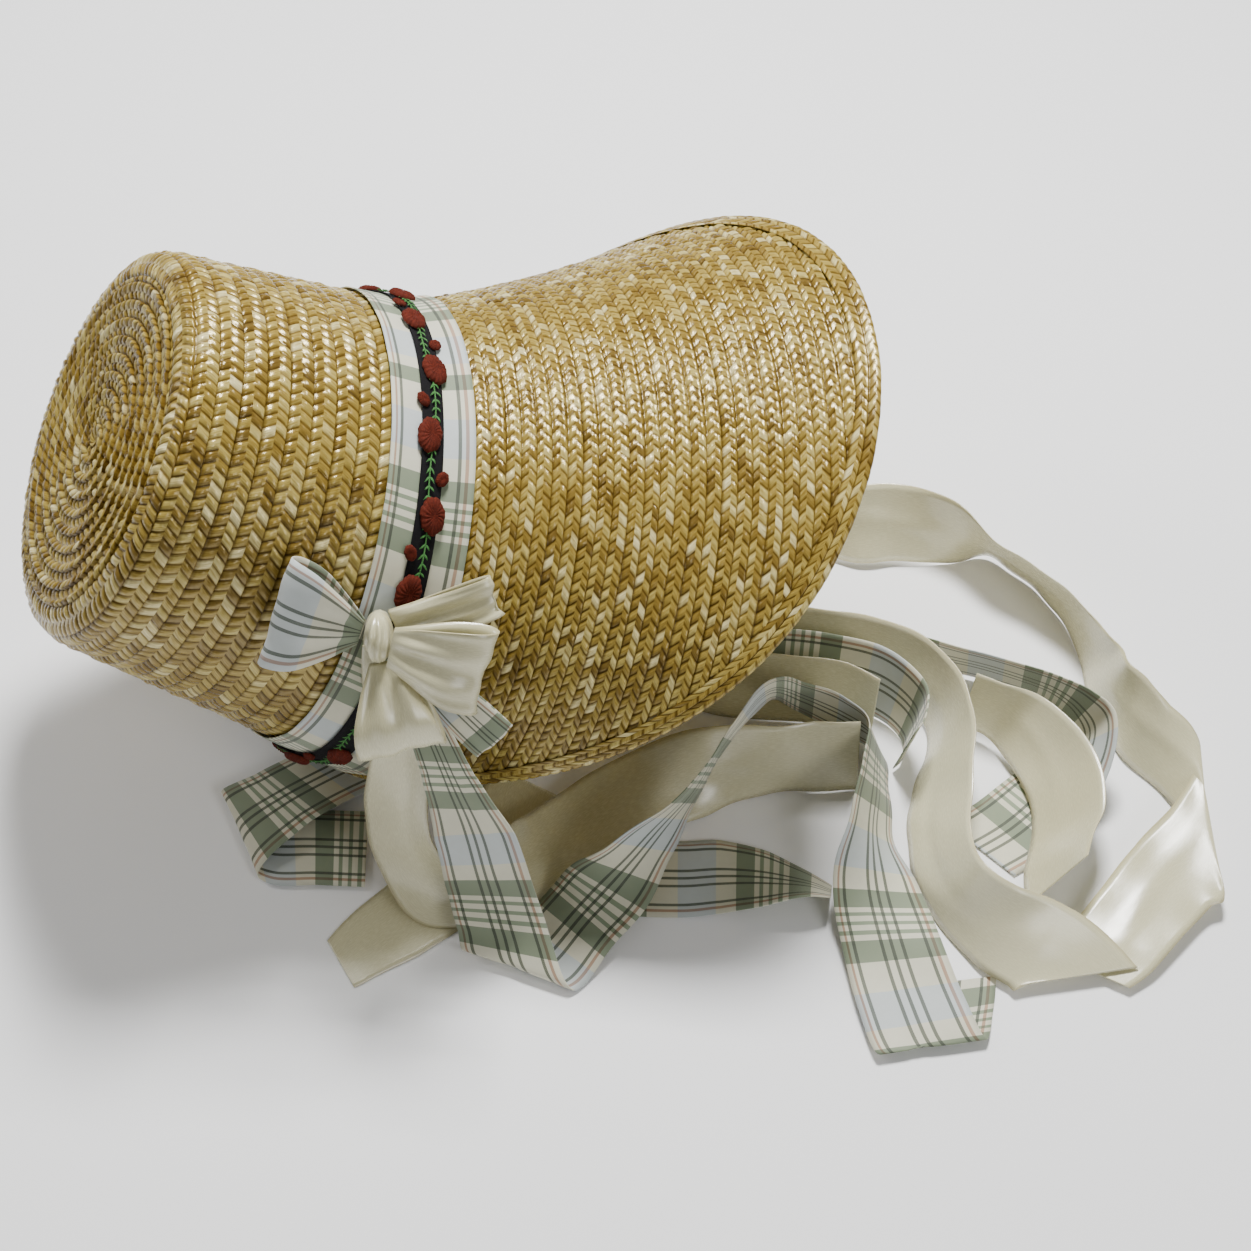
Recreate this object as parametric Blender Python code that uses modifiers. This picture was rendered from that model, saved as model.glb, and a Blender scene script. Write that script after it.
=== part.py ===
"""Poke bonnet of plaited straw with a plaid hatband, an embroidered trim, a bow and long ribbon ties.

Units are metres, +Z is up and the table top is at zero.
The bonnet has its own frame: x runs along the crown toward the face, y to the far side, z to the
top of the head, and its origin is the middle of the seam between crown and brim. Angles round the
crown start at the top of the head and grow toward the near side.
"""
import bpy
import bmesh
import math
from mathutils import Matrix, Vector

# Straw
STRAW_WALL = 0.002
SEAM_RADIUS = 0.100
TIP_RADIUS = 0.0805
TIP_EDGE = 0.011
CROWN_DEPTH = 0.125
TIP_TILT = math.radians(10.3)
TIP_RISE = 0.008
BRIM_FRONT = 0.180
BRIM_NAPE = 0.014
FLARE_AT_SEAM = math.radians(17.0)
FLARE_GROWTH = math.radians(18.0)
FLARE_REACH = 0.160
RIM_BRAID_WIDTH = 0.010
RIM_BRAID_WALL = 0.003
CLEARANCE = 0.0003
SEAM_GAP = 0.0004

# Pose of the bonnet on the table
BONNET_TURN = math.radians(10.7)
BONNET_PITCH = math.radians(24.0)
BONNET_ROLL = math.radians(4.2)
SEAM_X = -0.130
SEAM_Y = 0.012

# Ribbon
RIBBON_WIDTH = 0.040
RIBBON_WALL = 0.001
TABLE_GAP = 0.0001
HATBAND_BACK = 0.0285
HATBAND_FRONT = 0.0125
TRIM_WIDTH = 0.011
TRIM_WALL = 0.0008
FLOWER_LENGTH = 0.0155
FLOWER_WIDTH = 0.0105
FLOWER_HEIGHT = 0.0030
FLOWER_PITCH = math.radians(18.0)
FLOWER_OFFSET = 0.0022
FLOWER_START = 1.00
BOW_COVER = 0.45
TIES_COVER = 1.6

# Bow on the near side
BOW_ANGLE = math.radians(63.0)
BOW_BACK = 0.016
BOW_LEAN = 0.030
KNOT_LENGTH = 0.020
KNOT_WIDTH = 0.012
KNOT_DEPTH = 0.0235

ROUND = 48
TIP_RINGS = (0.35, 0.70, 1.0)
BRIM_ROWS = 8
PROFILE_STEPS = 12
BLUR_DEGREES = 6.0
NORMAL_STEP = 0.001
FLOWER_STEP = 0.01
PAD_SEGMENTS = 12
PAD_RINGS = 8
SPAN_STEPS = 4
LOOP_STEPS = 2

# Brim length round the head: angle in degrees, share of the way from nape length to front length
BRIM_SHARES = (
    (0, 1.000),
    (15, 0.980),
    (30, 0.910),
    (45, 0.800),
    (60, 0.645),
    (75, 0.465),
    (90, 0.285),
    (105, 0.125),
    (120, 0.030),
    (135, 0.000),
    (180, 0.000),
)

# Crown sections past the tip disc: share of the depth from tip to seam, share of the edge drawn in
CROWN_SECTIONS = (
    (0.008, 0.55),
    (0.028, 0.22),
    (0.072, 0.00),
    (0.250, 0.00),
    (0.450, 0.00),
    (0.650, 0.00),
    (0.770, 0.00),
    (0.885, 0.00),
    (1.000, 0.00),
)

# Bow loops: name, direction in degrees, length, share of ribbon width at the root and at the end,
# bulge, height of the root over the knot's middle, dip of the end
BOW_LOOPS = (
    ("bow_plaid_loop_left", 160, 0.034, 0.26, 1.15, 0.010, 0.002, -0.003),
    ("bow_satin_loop_upper", 21, 0.042, 0.40, 0.42, 0.005, -0.002, -0.001),
    ("bow_satin_loop_middle", -13, 0.038, 0.40, 0.88, 0.010, 0.0085, 0.000),
    ("bow_satin_loop_lower", -80, 0.038, 0.30, 0.88, 0.010, 0.002, 0.002),
    ("bow_plaid_loop_right", -46, 0.056, 0.20, 0.50, 0.003, -0.0048, -0.001),
)

# Ribbon stations: x, y, z of the middle, compass turn of the width, rise of the width, share of width
NEAR_PLAID = (
    (-0.100, -0.0945, 0.122, -3, 2, 0.40),
    (-0.092, -0.1025, 0.106, -6, 4, 0.48),
    (-0.086, -0.110, 0.090, -10, 6, 0.55),
    (-0.076, -0.119, 0.058, -6, 14, 0.88),
    (-0.071, -0.126, 0.032, -12, 16, 1.00),
    (-0.065, -0.139, 0.014, -14, 8, 1.05),
    (-0.060, -0.150, 0.006, -20, 0, 1.18),
    (-0.049, -0.144, 0.002, -34, 0, 1.08),
    (-0.030, -0.124, 0.010, -42, -6, 0.95),
    (-0.007, -0.104, 0.026, 20, -38, 0.90),
    (0.015, -0.086, 0.045, 68, -52, 0.85),
    (0.034, -0.065, 0.062, 76, -56, 0.85),
    (0.050, -0.041, 0.058, 80, -66, 0.90),
    (0.066, -0.029, 0.036, 82, -74, 0.95),
    (0.085, -0.028, 0.0225, 76, -76, 0.95),
    (0.099, -0.040, 0.021, 40, -72, 0.95),
    (0.097, -0.062, 0.021, 30, -62, 0.95),
    (0.094, -0.090, 0.0185, 20, -50, 1.00),
    (0.095, -0.114, 0.012, 4, -14, 1.00),
    (0.099, -0.137, 0.009, -2, 8, 1.05),
    (0.105, -0.164, 0.007, 6, 6, 1.10),
    (0.113, -0.187, 0.005, 9, 0, 1.15),
    (0.120, -0.172, 0.0012, 10, 0, 1.05),
    (0.124, -0.154, 0.0012, 8, 0, 1.00),
)
NEAR_SATIN = (
    (-0.111, -0.0905, 0.122, -4, 2, 0.42),
    (-0.108, -0.0955, 0.105, -10, 4, 0.52),
    (-0.106, -0.100, 0.088, -16, 6, 0.62),
    (-0.110, -0.104, 0.056, -22, 6, 0.76),
    (-0.106, -0.109, 0.031, -20, 12, 0.88),
    (-0.090, -0.118, 0.0144, 20, 32, 1.00),
    (-0.070, -0.108, 0.012, 80, 22, 1.00),
    (-0.048, -0.092, 0.008, 118, 12, 1.00),
    (-0.020, -0.070, 0.008, 132, 12, 1.00),
    (0.004, -0.058, 0.011, 128, 25, 1.00),
    (0.026, -0.054, 0.018, 112, 58, 1.00),
    (0.048, -0.052, 0.021, 100, 76, 1.00),
    (0.068, -0.050, 0.021, 98, 78, 1.00),
    (0.080, -0.050, 0.021, 96, 78, 1.00),
    (0.0905, -0.0495, 0.021, 94, 78, 1.00),
)
MID_PLAID = (
    (-0.012, -0.1010, 0.0012, -90, 0, 1.00),
    (0.011, -0.102, 0.0012, -91, 0, 1.00),
    (0.028, -0.102, 0.0030, -92, 4, 1.00),
    (0.048, -0.106, 0.0080, -94, 16, 0.90),
    (0.064, -0.110, 0.0100, -96, 32, 0.70),
    (0.0755, -0.113, 0.0080, -98, 40, 0.45),
)
ARCH_PLAID = (
    (0.004, 0.0030, 0.021, 86, 80, 1.00),
    (0.030, 0.004, 0.021, 86, 78, 1.00),
    (0.060, 0.004, 0.021, 82, 78, 1.00),
    (0.088, -0.001, 0.021, 70, 78, 1.00),
    (0.106, -0.010, 0.021, 48, 78, 1.00),
    (0.117, -0.025, 0.021, 14, 78, 1.00),
    (0.116, -0.039, 0.021, -20, 78, 0.95),
    (0.111, -0.046, 0.020, -45, 76, 0.90),
)
ARCH_SATIN = (
    (0.004, 0.0046, 0.0210, 86, 80, 1.00),
    (0.030, 0.012, 0.021, 88, 78, 1.00),
    (0.060, 0.016, 0.022, 86, 76, 1.00),
    (0.090, 0.012, 0.022, 76, 76, 1.00),
    (0.114, 0.002, 0.022, 58, 74, 1.00),
    (0.130, -0.017, 0.022, 24, 72, 1.00),
    (0.132, -0.038, 0.021, 2, 64, 1.00),
    (0.127, -0.060, 0.018, -12, 52, 1.00),
    (0.124, -0.082, 0.017, -18, 50, 1.00),
    (0.124, -0.104, 0.018, -14, 56, 1.00),
    (0.130, -0.122, 0.019, 14, 62, 1.00),
    (0.143, -0.136, 0.018, 40, 50, 1.00),
    (0.161, -0.144, 0.0130, 46, 26, 1.05),
    (0.178, -0.1545, 0.0064, 9, 0, 1.28),
)
INNER_SATIN = (
    (0.004, 0.0014, 0.021, 86, 80, 1.00),
    (0.030, -0.008, 0.021, 92, 80, 1.00),
    (0.060, -0.011, 0.021, 92, 80, 1.00),
    (0.085, -0.015, 0.021, 86, 80, 1.00),
    (0.0995, -0.0240, 0.021, 70, 80, 0.95),
)
FAR_SATIN = (
    (-0.139, 0.118, 0.124, 178, 6, 0.60),
    (-0.149, 0.127, 0.092, 176, 4, 0.85),
    (-0.150, 0.138, 0.056, 172, 10, 1.00),
    (-0.130, 0.150, 0.028, 150, 38, 1.00),
    (-0.090, 0.159, 0.021, 118, 66, 1.00),
    (-0.045, 0.158, 0.021, 100, 72, 1.00),
    (0.000, 0.146, 0.021, 80, 74, 1.00),
    (0.060, 0.110, 0.021, 78, 66, 1.00),
    (0.094, 0.092, 0.021, 86, 60, 1.00),
    (0.118, 0.092, 0.021, 98, 62, 1.00),
    (0.142, 0.086, 0.021, 112, 80, 1.00),
    (0.164, 0.075, 0.0195, -92, 58, 1.00),
    (0.184, 0.057, 0.0180, -84, 54, 1.00),
    (0.199, 0.032, 0.0180, -76, 56, 1.00),
    (0.206, 0.011, 0.0190, -60, 64, 1.00),
    (0.209, -0.010, 0.0205, -10, 78, 1.00),
    (0.217, -0.028, 0.020, 60, 64, 1.00),
    (0.230, -0.042, 0.016, 84, 44, 1.00),
    (0.241, -0.058, 0.014, 88, 24, 1.15),
    (0.2435, -0.078, 0.0125, 92, 8, 1.45),
    (0.237, -0.094, 0.0110, 108, 4, 1.25),
    (0.224, -0.106, 0.0095, 134, 2, 1.05),
    (0.209, -0.123, 0.0080, 146, 1, 1.00),
    (0.192, -0.142, 0.0054, 152, 0, 1.00),
    (0.182, -0.150, 0.0044, 152, 0, 0.96),
)
LOOP_SATIN = (
    (0.1425, -0.0175, 0.0210, 50, 77, 0.80),
    (0.153, -0.023, 0.0210, 40, 76, 0.80),
    (0.165, -0.032, 0.0208, 24, 62, 0.90),
    (0.175, -0.046, 0.0203, 4, 50, 1.00),
    (0.181, -0.064, 0.0193, -8, 46, 1.00),
    (0.180, -0.083, 0.0183, -8, 46, 1.00),
    (0.174, -0.100, 0.0178, -2, 50, 1.00),
    (0.172, -0.114, 0.0182, 8, 58, 1.00),
)
BACK_PLAID = (
    (0.124, 0.0105, 0.021, -108, 70, 1.00),
    (0.138, 0.006, 0.021, -108, 68, 1.00),
    (0.153, 0.001, 0.021, -108, 67, 1.00),
    (0.169, -0.005, 0.021, -106, 68, 1.00),
    (0.182, -0.012, 0.021, -96, 70, 1.00),
    (0.192, -0.023, 0.021, -60, 72, 1.00),
    (0.196, -0.036, 0.019, -24, 62, 1.00),
    (0.188, -0.049, 0.011, -50, 30, 1.00),
    (0.173, -0.063, 0.004, -50, 6, 1.00),
    (0.158, -0.076, 0.0018, -48, 0, 1.00),
    (0.143, -0.086, 0.0014, -46, 0, 1.00),
)
LEFT_PLAID = (
    (-0.1172, -0.0292, 0.0051, -38, 0, 1.00),
    (-0.146, -0.048, 0.007, -42, 6, 1.00),
    (-0.167, -0.064, 0.009, -46, 6, 1.00),
    (-0.184, -0.079, 0.006, -62, 0, 1.16),
    (-0.172, -0.085, 0.0026, -78, 0, 1.06),
    (-0.152, -0.086, 0.0026, -85, 0, 1.00),
    (-0.128, -0.087, 0.0026, -88, 0, 1.00),
)
LEFT_SATIN = (
    (-0.135, -0.145, 0.0008, -60, 0, 0.66),
    (-0.124, -0.134, 0.0008, -66, 0, 0.85),
    (-0.109, -0.122, 0.0008, -68, 0, 1.00),
    (-0.088, -0.104, 0.0008, -60, 0, 1.00),
    (-0.070, -0.080, 0.0008, -42, 0, 1.00),
    (-0.056, -0.050, 0.0008, -30, 0, 1.00),
)

# Ties that leave the knot: height over its middle, offset to the right, share of width
TIE_ROOTS = {
    "near_plaid_tie": (-0.0070, 0.0020, 0.26),
    "near_satin_tie": (-0.0086, -0.0020, 0.28),
}

# Ties: piece, its stations, its cloth
RIBBONS = (
    ("near_plaid_tie", NEAR_PLAID, "plaid"),
    ("near_satin_tie", NEAR_SATIN, "satin"),
    ("mid_plaid_tie", MID_PLAID, "plaid"),
    ("arch_plaid_tie", ARCH_PLAID, "plaid"),
    ("arch_satin_tie", ARCH_SATIN, "satin"),
    ("inner_satin_tie", INNER_SATIN, "satin"),
    ("loop_satin_tie", LOOP_SATIN, "satin"),
    ("far_satin_tie", FAR_SATIN, "satin"),
    ("back_plaid_tie", BACK_PLAID, "plaid"),
    ("left_plaid_tie", LEFT_PLAID, "plaid"),
    ("left_satin_tie", LEFT_SATIN, "satin"),
)

# Colour and roughness of each material
COLOURS = {
    "straw": ((0.58, 0.38, 0.15, 1.0), 0.55),
    "plaid": ((0.66, 0.66, 0.56, 1.0), 0.80),
    "satin": ((0.80, 0.77, 0.62, 1.0), 0.35),
    "trim": ((0.02, 0.02, 0.02, 1.0), 0.85),
    "flower": ((0.22, 0.035, 0.02, 1.0), 0.90),
}


# Scene
for old in list(bpy.data.objects):
    bpy.data.objects.remove(old, do_unlink=True)
bonnet_set = bpy.data.collections.new("poke_bonnet")
bpy.context.scene.collection.children.link(bonnet_set)


def material(name):
    found = bpy.data.materials.get(name)
    if found:
        return found
    made = bpy.data.materials.new(name)
    made.use_nodes = True
    shader = made.node_tree.nodes["Principled BSDF"]
    colour, rough = COLOURS[name]
    shader.inputs["Base Color"].default_value = colour
    shader.inputs["Roughness"].default_value = rough
    made.diffuse_color = colour
    return made


def add_object(name, points, faces, cloth, wall):
    """Make a closed shell with a wall round an open middle surface."""
    mesh = bpy.data.meshes.new(name)
    mesh.from_pydata([tuple(p) for p in points], [], faces)
    mesh.update()
    mesh.materials.append(material(cloth))
    obj = bpy.data.objects.new(name, mesh)
    bonnet_set.objects.link(obj)
    shell = obj.modifiers.new("wall", "SOLIDIFY")
    shell.thickness = wall
    shell.offset = 0.0
    shell.use_even_offset = cloth == "straw"
    return obj


def lerp_table(table, key):
    """Value of a table at a key, straight between its rows and held past its ends."""
    if key <= table[0][0]:
        return table[0][1]
    for low, high in zip(table, table[1:]):
        if key <= high[0]:
            t = (key - low[0]) / (high[0] - low[0])
            return low[1] + (high[1] - low[1]) * t
    return table[-1][1]


def brim_length(angle):
    degrees = math.degrees(angle) % 360.0
    if degrees > 180.0:
        degrees = 360.0 - degrees
    near = (degrees - BLUR_DEGREES, degrees, degrees + BLUR_DEGREES)
    share = sum(lerp_table(BRIM_SHARES, abs(d)) for d in near) / len(near)
    return BRIM_NAPE + (BRIM_FRONT - BRIM_NAPE) * share


def brim_profile(s):
    """Distance along the axis and radius at a length s up the flare from the seam."""
    step = s / PROFILE_STEPS
    x = 0.0
    r = SEAM_RADIUS
    for i in range(PROFILE_STEPS):
        flare = FLARE_AT_SEAM + FLARE_GROWTH * step * (i + 0.5) / FLARE_REACH
        x += math.cos(flare) * step
        r += math.sin(flare) * step
    return x, r


def brim_frame(angle, s):
    """Point on the brim's middle surface and the outward normal there."""
    x, r = brim_profile(s)
    flare = FLARE_AT_SEAM + FLARE_GROWTH * max(s, 0.0) / FLARE_REACH
    radial = Vector((0.0, -math.sin(angle), math.cos(angle)))
    point = Vector((x, 0.0, 0.0)) + radial * r
    normal = radial * math.cos(flare) - Vector((math.sin(flare), 0.0, 0.0))
    return point, normal


def crown_centre(t):
    """Middle and axis of the crown's section at a share t from tip to seam."""
    lean = TIP_TILT * (1.0 - t)
    axis = Vector((math.cos(TIP_TILT), 0.0, -math.sin(TIP_TILT)))
    middle = axis * (-CROWN_DEPTH * (1.0 - t)) + Vector((0.0, 0.0, TIP_RISE * (1.0 - t)))
    up = Vector((math.sin(lean), 0.0, math.cos(lean)))
    return middle, up


def crown_radius(t):
    return TIP_RADIUS + (SEAM_RADIUS - TIP_RADIUS) * t


def crown_point(angle, t):
    middle, up = crown_centre(t)
    radial = Vector((0.0, -math.sin(angle), 0.0)) + up * math.cos(angle)
    return middle + radial * crown_radius(t)


def crown_frame(angle, t):
    """Point on the crown's middle surface and the outward normal there."""
    point = crown_point(angle, t)
    round_way = crown_point(angle + NORMAL_STEP, t) - point
    long_way = point - crown_point(angle, t - NORMAL_STEP)
    return point, round_way.cross(long_way).normalized()


def straw_frame(angle, s):
    """Middle surface of the straw: s below zero is crown, above zero is brim."""
    if s >= 0.0:
        return brim_frame(angle, s)
    return crown_frame(angle, 1.0 + s / CROWN_DEPTH)


def place(obj):
    """Set a piece of the bonnet in the bonnet's pose."""
    obj.matrix_world = BONNET_POSE
    return obj


# Pose
spin = (
    Matrix.Rotation(BONNET_TURN, 4, "Z")
    @ Matrix.Rotation(BONNET_PITCH, 4, "Y")
    @ Matrix.Rotation(BONNET_ROLL, 4, "X")
)
lowest = 0.0
for i in range(360):
    a = math.radians(i)
    point, normal = brim_frame(a, brim_length(a))
    for side in (-1.0, 1.0):
        lowest = min(lowest, (spin @ (point + normal * side * RIM_BRAID_WALL / 2.0)).z)
BONNET_POSE = Matrix.Translation((SEAM_X, SEAM_Y, TABLE_GAP - lowest)) @ spin

ANGLES = [2.0 * math.pi * i / ROUND for i in range(ROUND)]


def ring_faces(first, second):
    """Quads between two closed rings of point numbers."""
    count = len(first)
    return [
        (first[i], first[(i + 1) % count], second[(i + 1) % count], second[i])
        for i in range(count)
    ]


# Crown
points = []
rings = []
tip_middle, tip_up = crown_centre(0.0)
points.append(tip_middle)
for share in TIP_RINGS:
    ring = []
    for a in ANGLES:
        radial = Vector((0.0, -math.sin(a), 0.0)) + tip_up * math.cos(a)
        ring.append(len(points))
        points.append(tip_middle + radial * (TIP_RADIUS - TIP_EDGE) * share)
    rings.append(ring)
for t, drawn in CROWN_SECTIONS:
    ring = []
    middle, up = crown_centre(min(t, 1.0 - SEAM_GAP / CROWN_DEPTH))
    for a in ANGLES:
        radial = Vector((0.0, -math.sin(a), 0.0)) + up * math.cos(a)
        ring.append(len(points))
        points.append(middle + radial * (crown_radius(t) - TIP_EDGE * drawn))
    rings.append(ring)
faces = [(0, rings[0][(i + 1) % ROUND], rings[0][i]) for i in range(ROUND)]
for first, second in zip(rings, rings[1:]):
    faces += ring_faces(first, second)
place(add_object("crown", points, faces, "straw", STRAW_WALL))


def brim_strip(name, start, end, rows, wall):
    """A strip of the brim between two lengths up the flare, given as functions of the angle."""
    strip_points = []
    strip_rings = []
    for k in range(rows + 1):
        ring = []
        for a in ANGLES:
            s = start(a) + (end(a) - start(a)) * k / rows
            ring.append(len(strip_points))
            strip_points.append(brim_frame(a, s)[0])
        strip_rings.append(ring)
    strip_faces = []
    for first, second in zip(strip_rings, strip_rings[1:]):
        strip_faces += ring_faces(first, second)
    return place(add_object(name, strip_points, strip_faces, "straw", wall))


# Brim and the braid round its rim
brim_strip(
    "brim",
    lambda a: SEAM_GAP,
    lambda a: brim_length(a) - RIM_BRAID_WIDTH - CLEARANCE,
    BRIM_ROWS,
    STRAW_WALL,
)
brim_strip(
    "rim_braid",
    lambda a: brim_length(a) - RIM_BRAID_WIDTH,
    lambda a: brim_length(a),
    1,
    RIM_BRAID_WALL,
)


def band_front(angle):
    """How far the hatband reaches over the brim, short of the braid at the nape."""
    return min(HATBAND_FRONT, brim_length(angle) - RIM_BRAID_WIDTH - 3.0 * CLEARANCE)


def round_band(name, places, height, cloth, wall):
    """A band round the seam through places along the straw, at a height over its middle surface."""
    band_points = []
    band_rings = []
    for reach in places:
        ring = []
        for a in ANGLES:
            point, normal = straw_frame(a, reach(a))
            ring.append(len(band_points))
            band_points.append(point + normal * height)
        band_rings.append(ring)
    band_faces = []
    for first, second in zip(band_rings, band_rings[1:]):
        band_faces += ring_faces(first, second)
    return place(add_object(name, band_points, band_faces, cloth, wall))


BAND_HEIGHT = STRAW_WALL / 2.0 + 3.0 * CLEARANCE + RIBBON_WALL / 2.0
TRIM_HEIGHT = BAND_HEIGHT + RIBBON_WALL / 2.0 + CLEARANCE + TRIM_WALL / 2.0
FLOWER_BASE = TRIM_HEIGHT + TRIM_WALL / 2.0 + CLEARANCE


def band_middle(angle):
    return (band_front(angle) - HATBAND_BACK) / 2.0


round_band(
    "hatband",
    (
        lambda a: -HATBAND_BACK,
        lambda a: band_middle(a) - TRIM_WIDTH / 2.0,
        lambda a: band_middle(a) + TRIM_WIDTH / 2.0,
        lambda a: 0.0,
        band_front,
    ),
    BAND_HEIGHT,
    "plaid",
    RIBBON_WALL,
)
round_band(
    "embroidered_trim",
    (lambda a: band_middle(a) - TRIM_WIDTH / 2.0, lambda a: band_middle(a) + TRIM_WIDTH / 2.0),
    TRIM_HEIGHT,
    "trim",
    TRIM_WALL,
)


def flower_pad():
    """A domed oval pad with a flat back, shared by the flowers."""
    form = bmesh.new()
    bmesh.ops.create_uvsphere(form, u_segments=PAD_SEGMENTS, v_segments=PAD_RINGS, radius=1.0)
    everything = form.verts[:] + form.edges[:] + form.faces[:]
    bmesh.ops.bisect_plane(
        form, geom=everything, plane_co=(0, 0, 0), plane_no=(0, 0, 1), clear_inner=True
    )
    rim = [edge for edge in form.edges if edge.is_boundary]
    bmesh.ops.contextual_create(form, geom=rim)
    bmesh.ops.recalc_face_normals(form, faces=form.faces[:])
    size = Matrix.Diagonal((FLOWER_LENGTH / 2.0, FLOWER_WIDTH / 2.0, FLOWER_HEIGHT, 1.0))
    bmesh.ops.transform(form, matrix=size, verts=form.verts[:])
    mesh = bpy.data.meshes.new("flower_pad")
    form.to_mesh(mesh)
    form.free()
    mesh.materials.append(material("flower"))
    return mesh


# Flowers on the trim, every second one to the other side, none under the bow
pad = flower_pad()
flower_count = int(round(2.0 * math.pi / FLOWER_PITCH))
for i in range(flower_count):
    a = (i + FLOWER_START) * 2.0 * math.pi / flower_count
    if -BOW_COVER < (a - BOW_ANGLE) / FLOWER_PITCH < TIES_COVER:
        continue
    side = 1.0 if i % 2 else -1.0
    s = band_middle(a) + side * FLOWER_OFFSET
    point, normal = straw_frame(a, s)
    along = straw_frame(a + FLOWER_STEP, s)[0] - straw_frame(a - FLOWER_STEP, s)[0]
    along.normalize()
    across = normal.cross(along).normalized()
    turned = Matrix((along, across, normal)).transposed().to_4x4()
    flower = bpy.data.objects.new("trim_flower_%02d" % (i + 1), pad)
    bonnet_set.objects.link(flower)
    flower.matrix_world = BONNET_POSE @ Matrix.Translation(point + normal * FLOWER_BASE) @ turned


# Bow
knot_point = straw_frame(BOW_ANGLE, -BOW_BACK)[0]
knot_normal = straw_frame(BOW_ANGLE, BOW_LEAN)[1]
knot_normal = (BONNET_POSE.to_3x3() @ knot_normal).normalized()
bow_stand = TRIM_HEIGHT + TRIM_WALL / 2.0 + 2.0 * CLEARANCE + KNOT_DEPTH / 2.0
knot_middle = BONNET_POSE @ knot_point + knot_normal * bow_stand
bow_up = (Vector((0.0, 0.0, 1.0)) - knot_normal * knot_normal.z).normalized()
bow_right = bow_up.cross(knot_normal).normalized()
if bow_right.x < 0.0:
    bow_right = -bow_right

knot_mesh = bpy.data.meshes.new("bow_knot")
knot_form = bmesh.new()
bmesh.ops.create_uvsphere(knot_form, u_segments=PAD_SEGMENTS, v_segments=PAD_RINGS, radius=0.5)
knot_form.to_mesh(knot_mesh)
knot_form.free()
knot_mesh.materials.append(material("satin"))
knot = bpy.data.objects.new("bow_knot", knot_mesh)
bonnet_set.objects.link(knot)
knot_turn = Matrix((bow_right, bow_up, knot_normal)).transposed().to_4x4()
knot_mesh.transform(Matrix.Diagonal((KNOT_WIDTH, KNOT_LENGTH, KNOT_DEPTH, 1.0)))
knot.matrix_world = Matrix.Translation(knot_middle) @ knot_turn


def knot_reach(direction, height):
    """Distance from the knot's middle to just clear of its side, at a height along its normal."""
    round_share = math.sqrt(max(1.0 - (2.0 * height / KNOT_DEPTH) ** 2, 0.0))
    side = math.hypot(math.cos(direction) * KNOT_WIDTH, math.sin(direction) * KNOT_LENGTH) / 2.0
    return side * round_share + 2.0 * CLEARANCE


def tie_root(height, side, share):
    """First station of a tie that leaves the knot downward, under the loops."""
    start = (
        knot_middle
        + knot_normal * height
        - bow_up * knot_reach(math.radians(90.0), height)
        + bow_right * side
    )
    return (start.x, start.y, start.z, 0.0, 0.0, share)


def strip(name, rows, cloth):
    """A ribbon of one width through its stations, laid as an open surface with a wall."""
    knots = []
    for x, y, z, turn, rise, share in rows:
        turn = math.radians(turn)
        rise = math.radians(rise)
        wide = Vector((math.cos(turn) * math.cos(rise), math.sin(turn) * math.cos(rise), math.sin(rise)))
        knots.append((Vector((x, y, z)), wide, share))
    edge_points = []
    total = len(knots)
    floor = RIBBON_WALL / 2.0 + TABLE_GAP
    for i in range(total - 1):
        before = knots[max(i - 1, 0)]
        first = knots[i]
        second = knots[i + 1]
        after = knots[min(i + 2, total - 1)]
        for k in range(SPAN_STEPS + (1 if i == total - 2 else 0)):
            t = k / SPAN_STEPS
            middle = curve(before[0], first[0], second[0], after[0], t)
            wide = curve(before[1], first[1], second[1], after[1], t).normalized()
            share = first[2] + (second[2] - first[2]) * t
            half = wide * RIBBON_WIDTH * share / 2.0
            for edge in (middle - half, middle + half):
                edge.z = max(edge.z, floor)
                edge_points.append(edge)
    strip_faces = [(2 * i, 2 * i + 1, 2 * i + 3, 2 * i + 2) for i in range(len(edge_points) // 2 - 1)]
    return add_object(name, edge_points, strip_faces, cloth, RIBBON_WALL)


def curve(p0, p1, p2, p3, t):
    """Smooth curve through p1 and p2."""
    return 0.5 * (
        2.0 * p1
        + (p2 - p0) * t
        + (2.0 * p0 - 5.0 * p1 + 4.0 * p2 - p3) * t * t
        + (3.0 * p1 - p0 - 3.0 * p2 + p3) * t * t * t
    )


# How far a loop comes back under its root, as a share of its bulge
LOOP_UNDER = 0.14

# Loop course: share of the length, share of the bulge, share of the end width
LOOP_COURSE = (
    (0.00, 0.10, 0.00),
    (0.30, 0.62, 0.45),
    (0.62, 1.00, 0.85),
    (0.90, 0.80, 1.00),
    (1.00, 0.35, 1.00),
    (0.88, 0.00, 0.98),
    (0.60, -0.10, 0.82),
    (0.30, -0.12, 0.45),
    (0.00, -LOOP_UNDER, 0.00),
)


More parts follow.
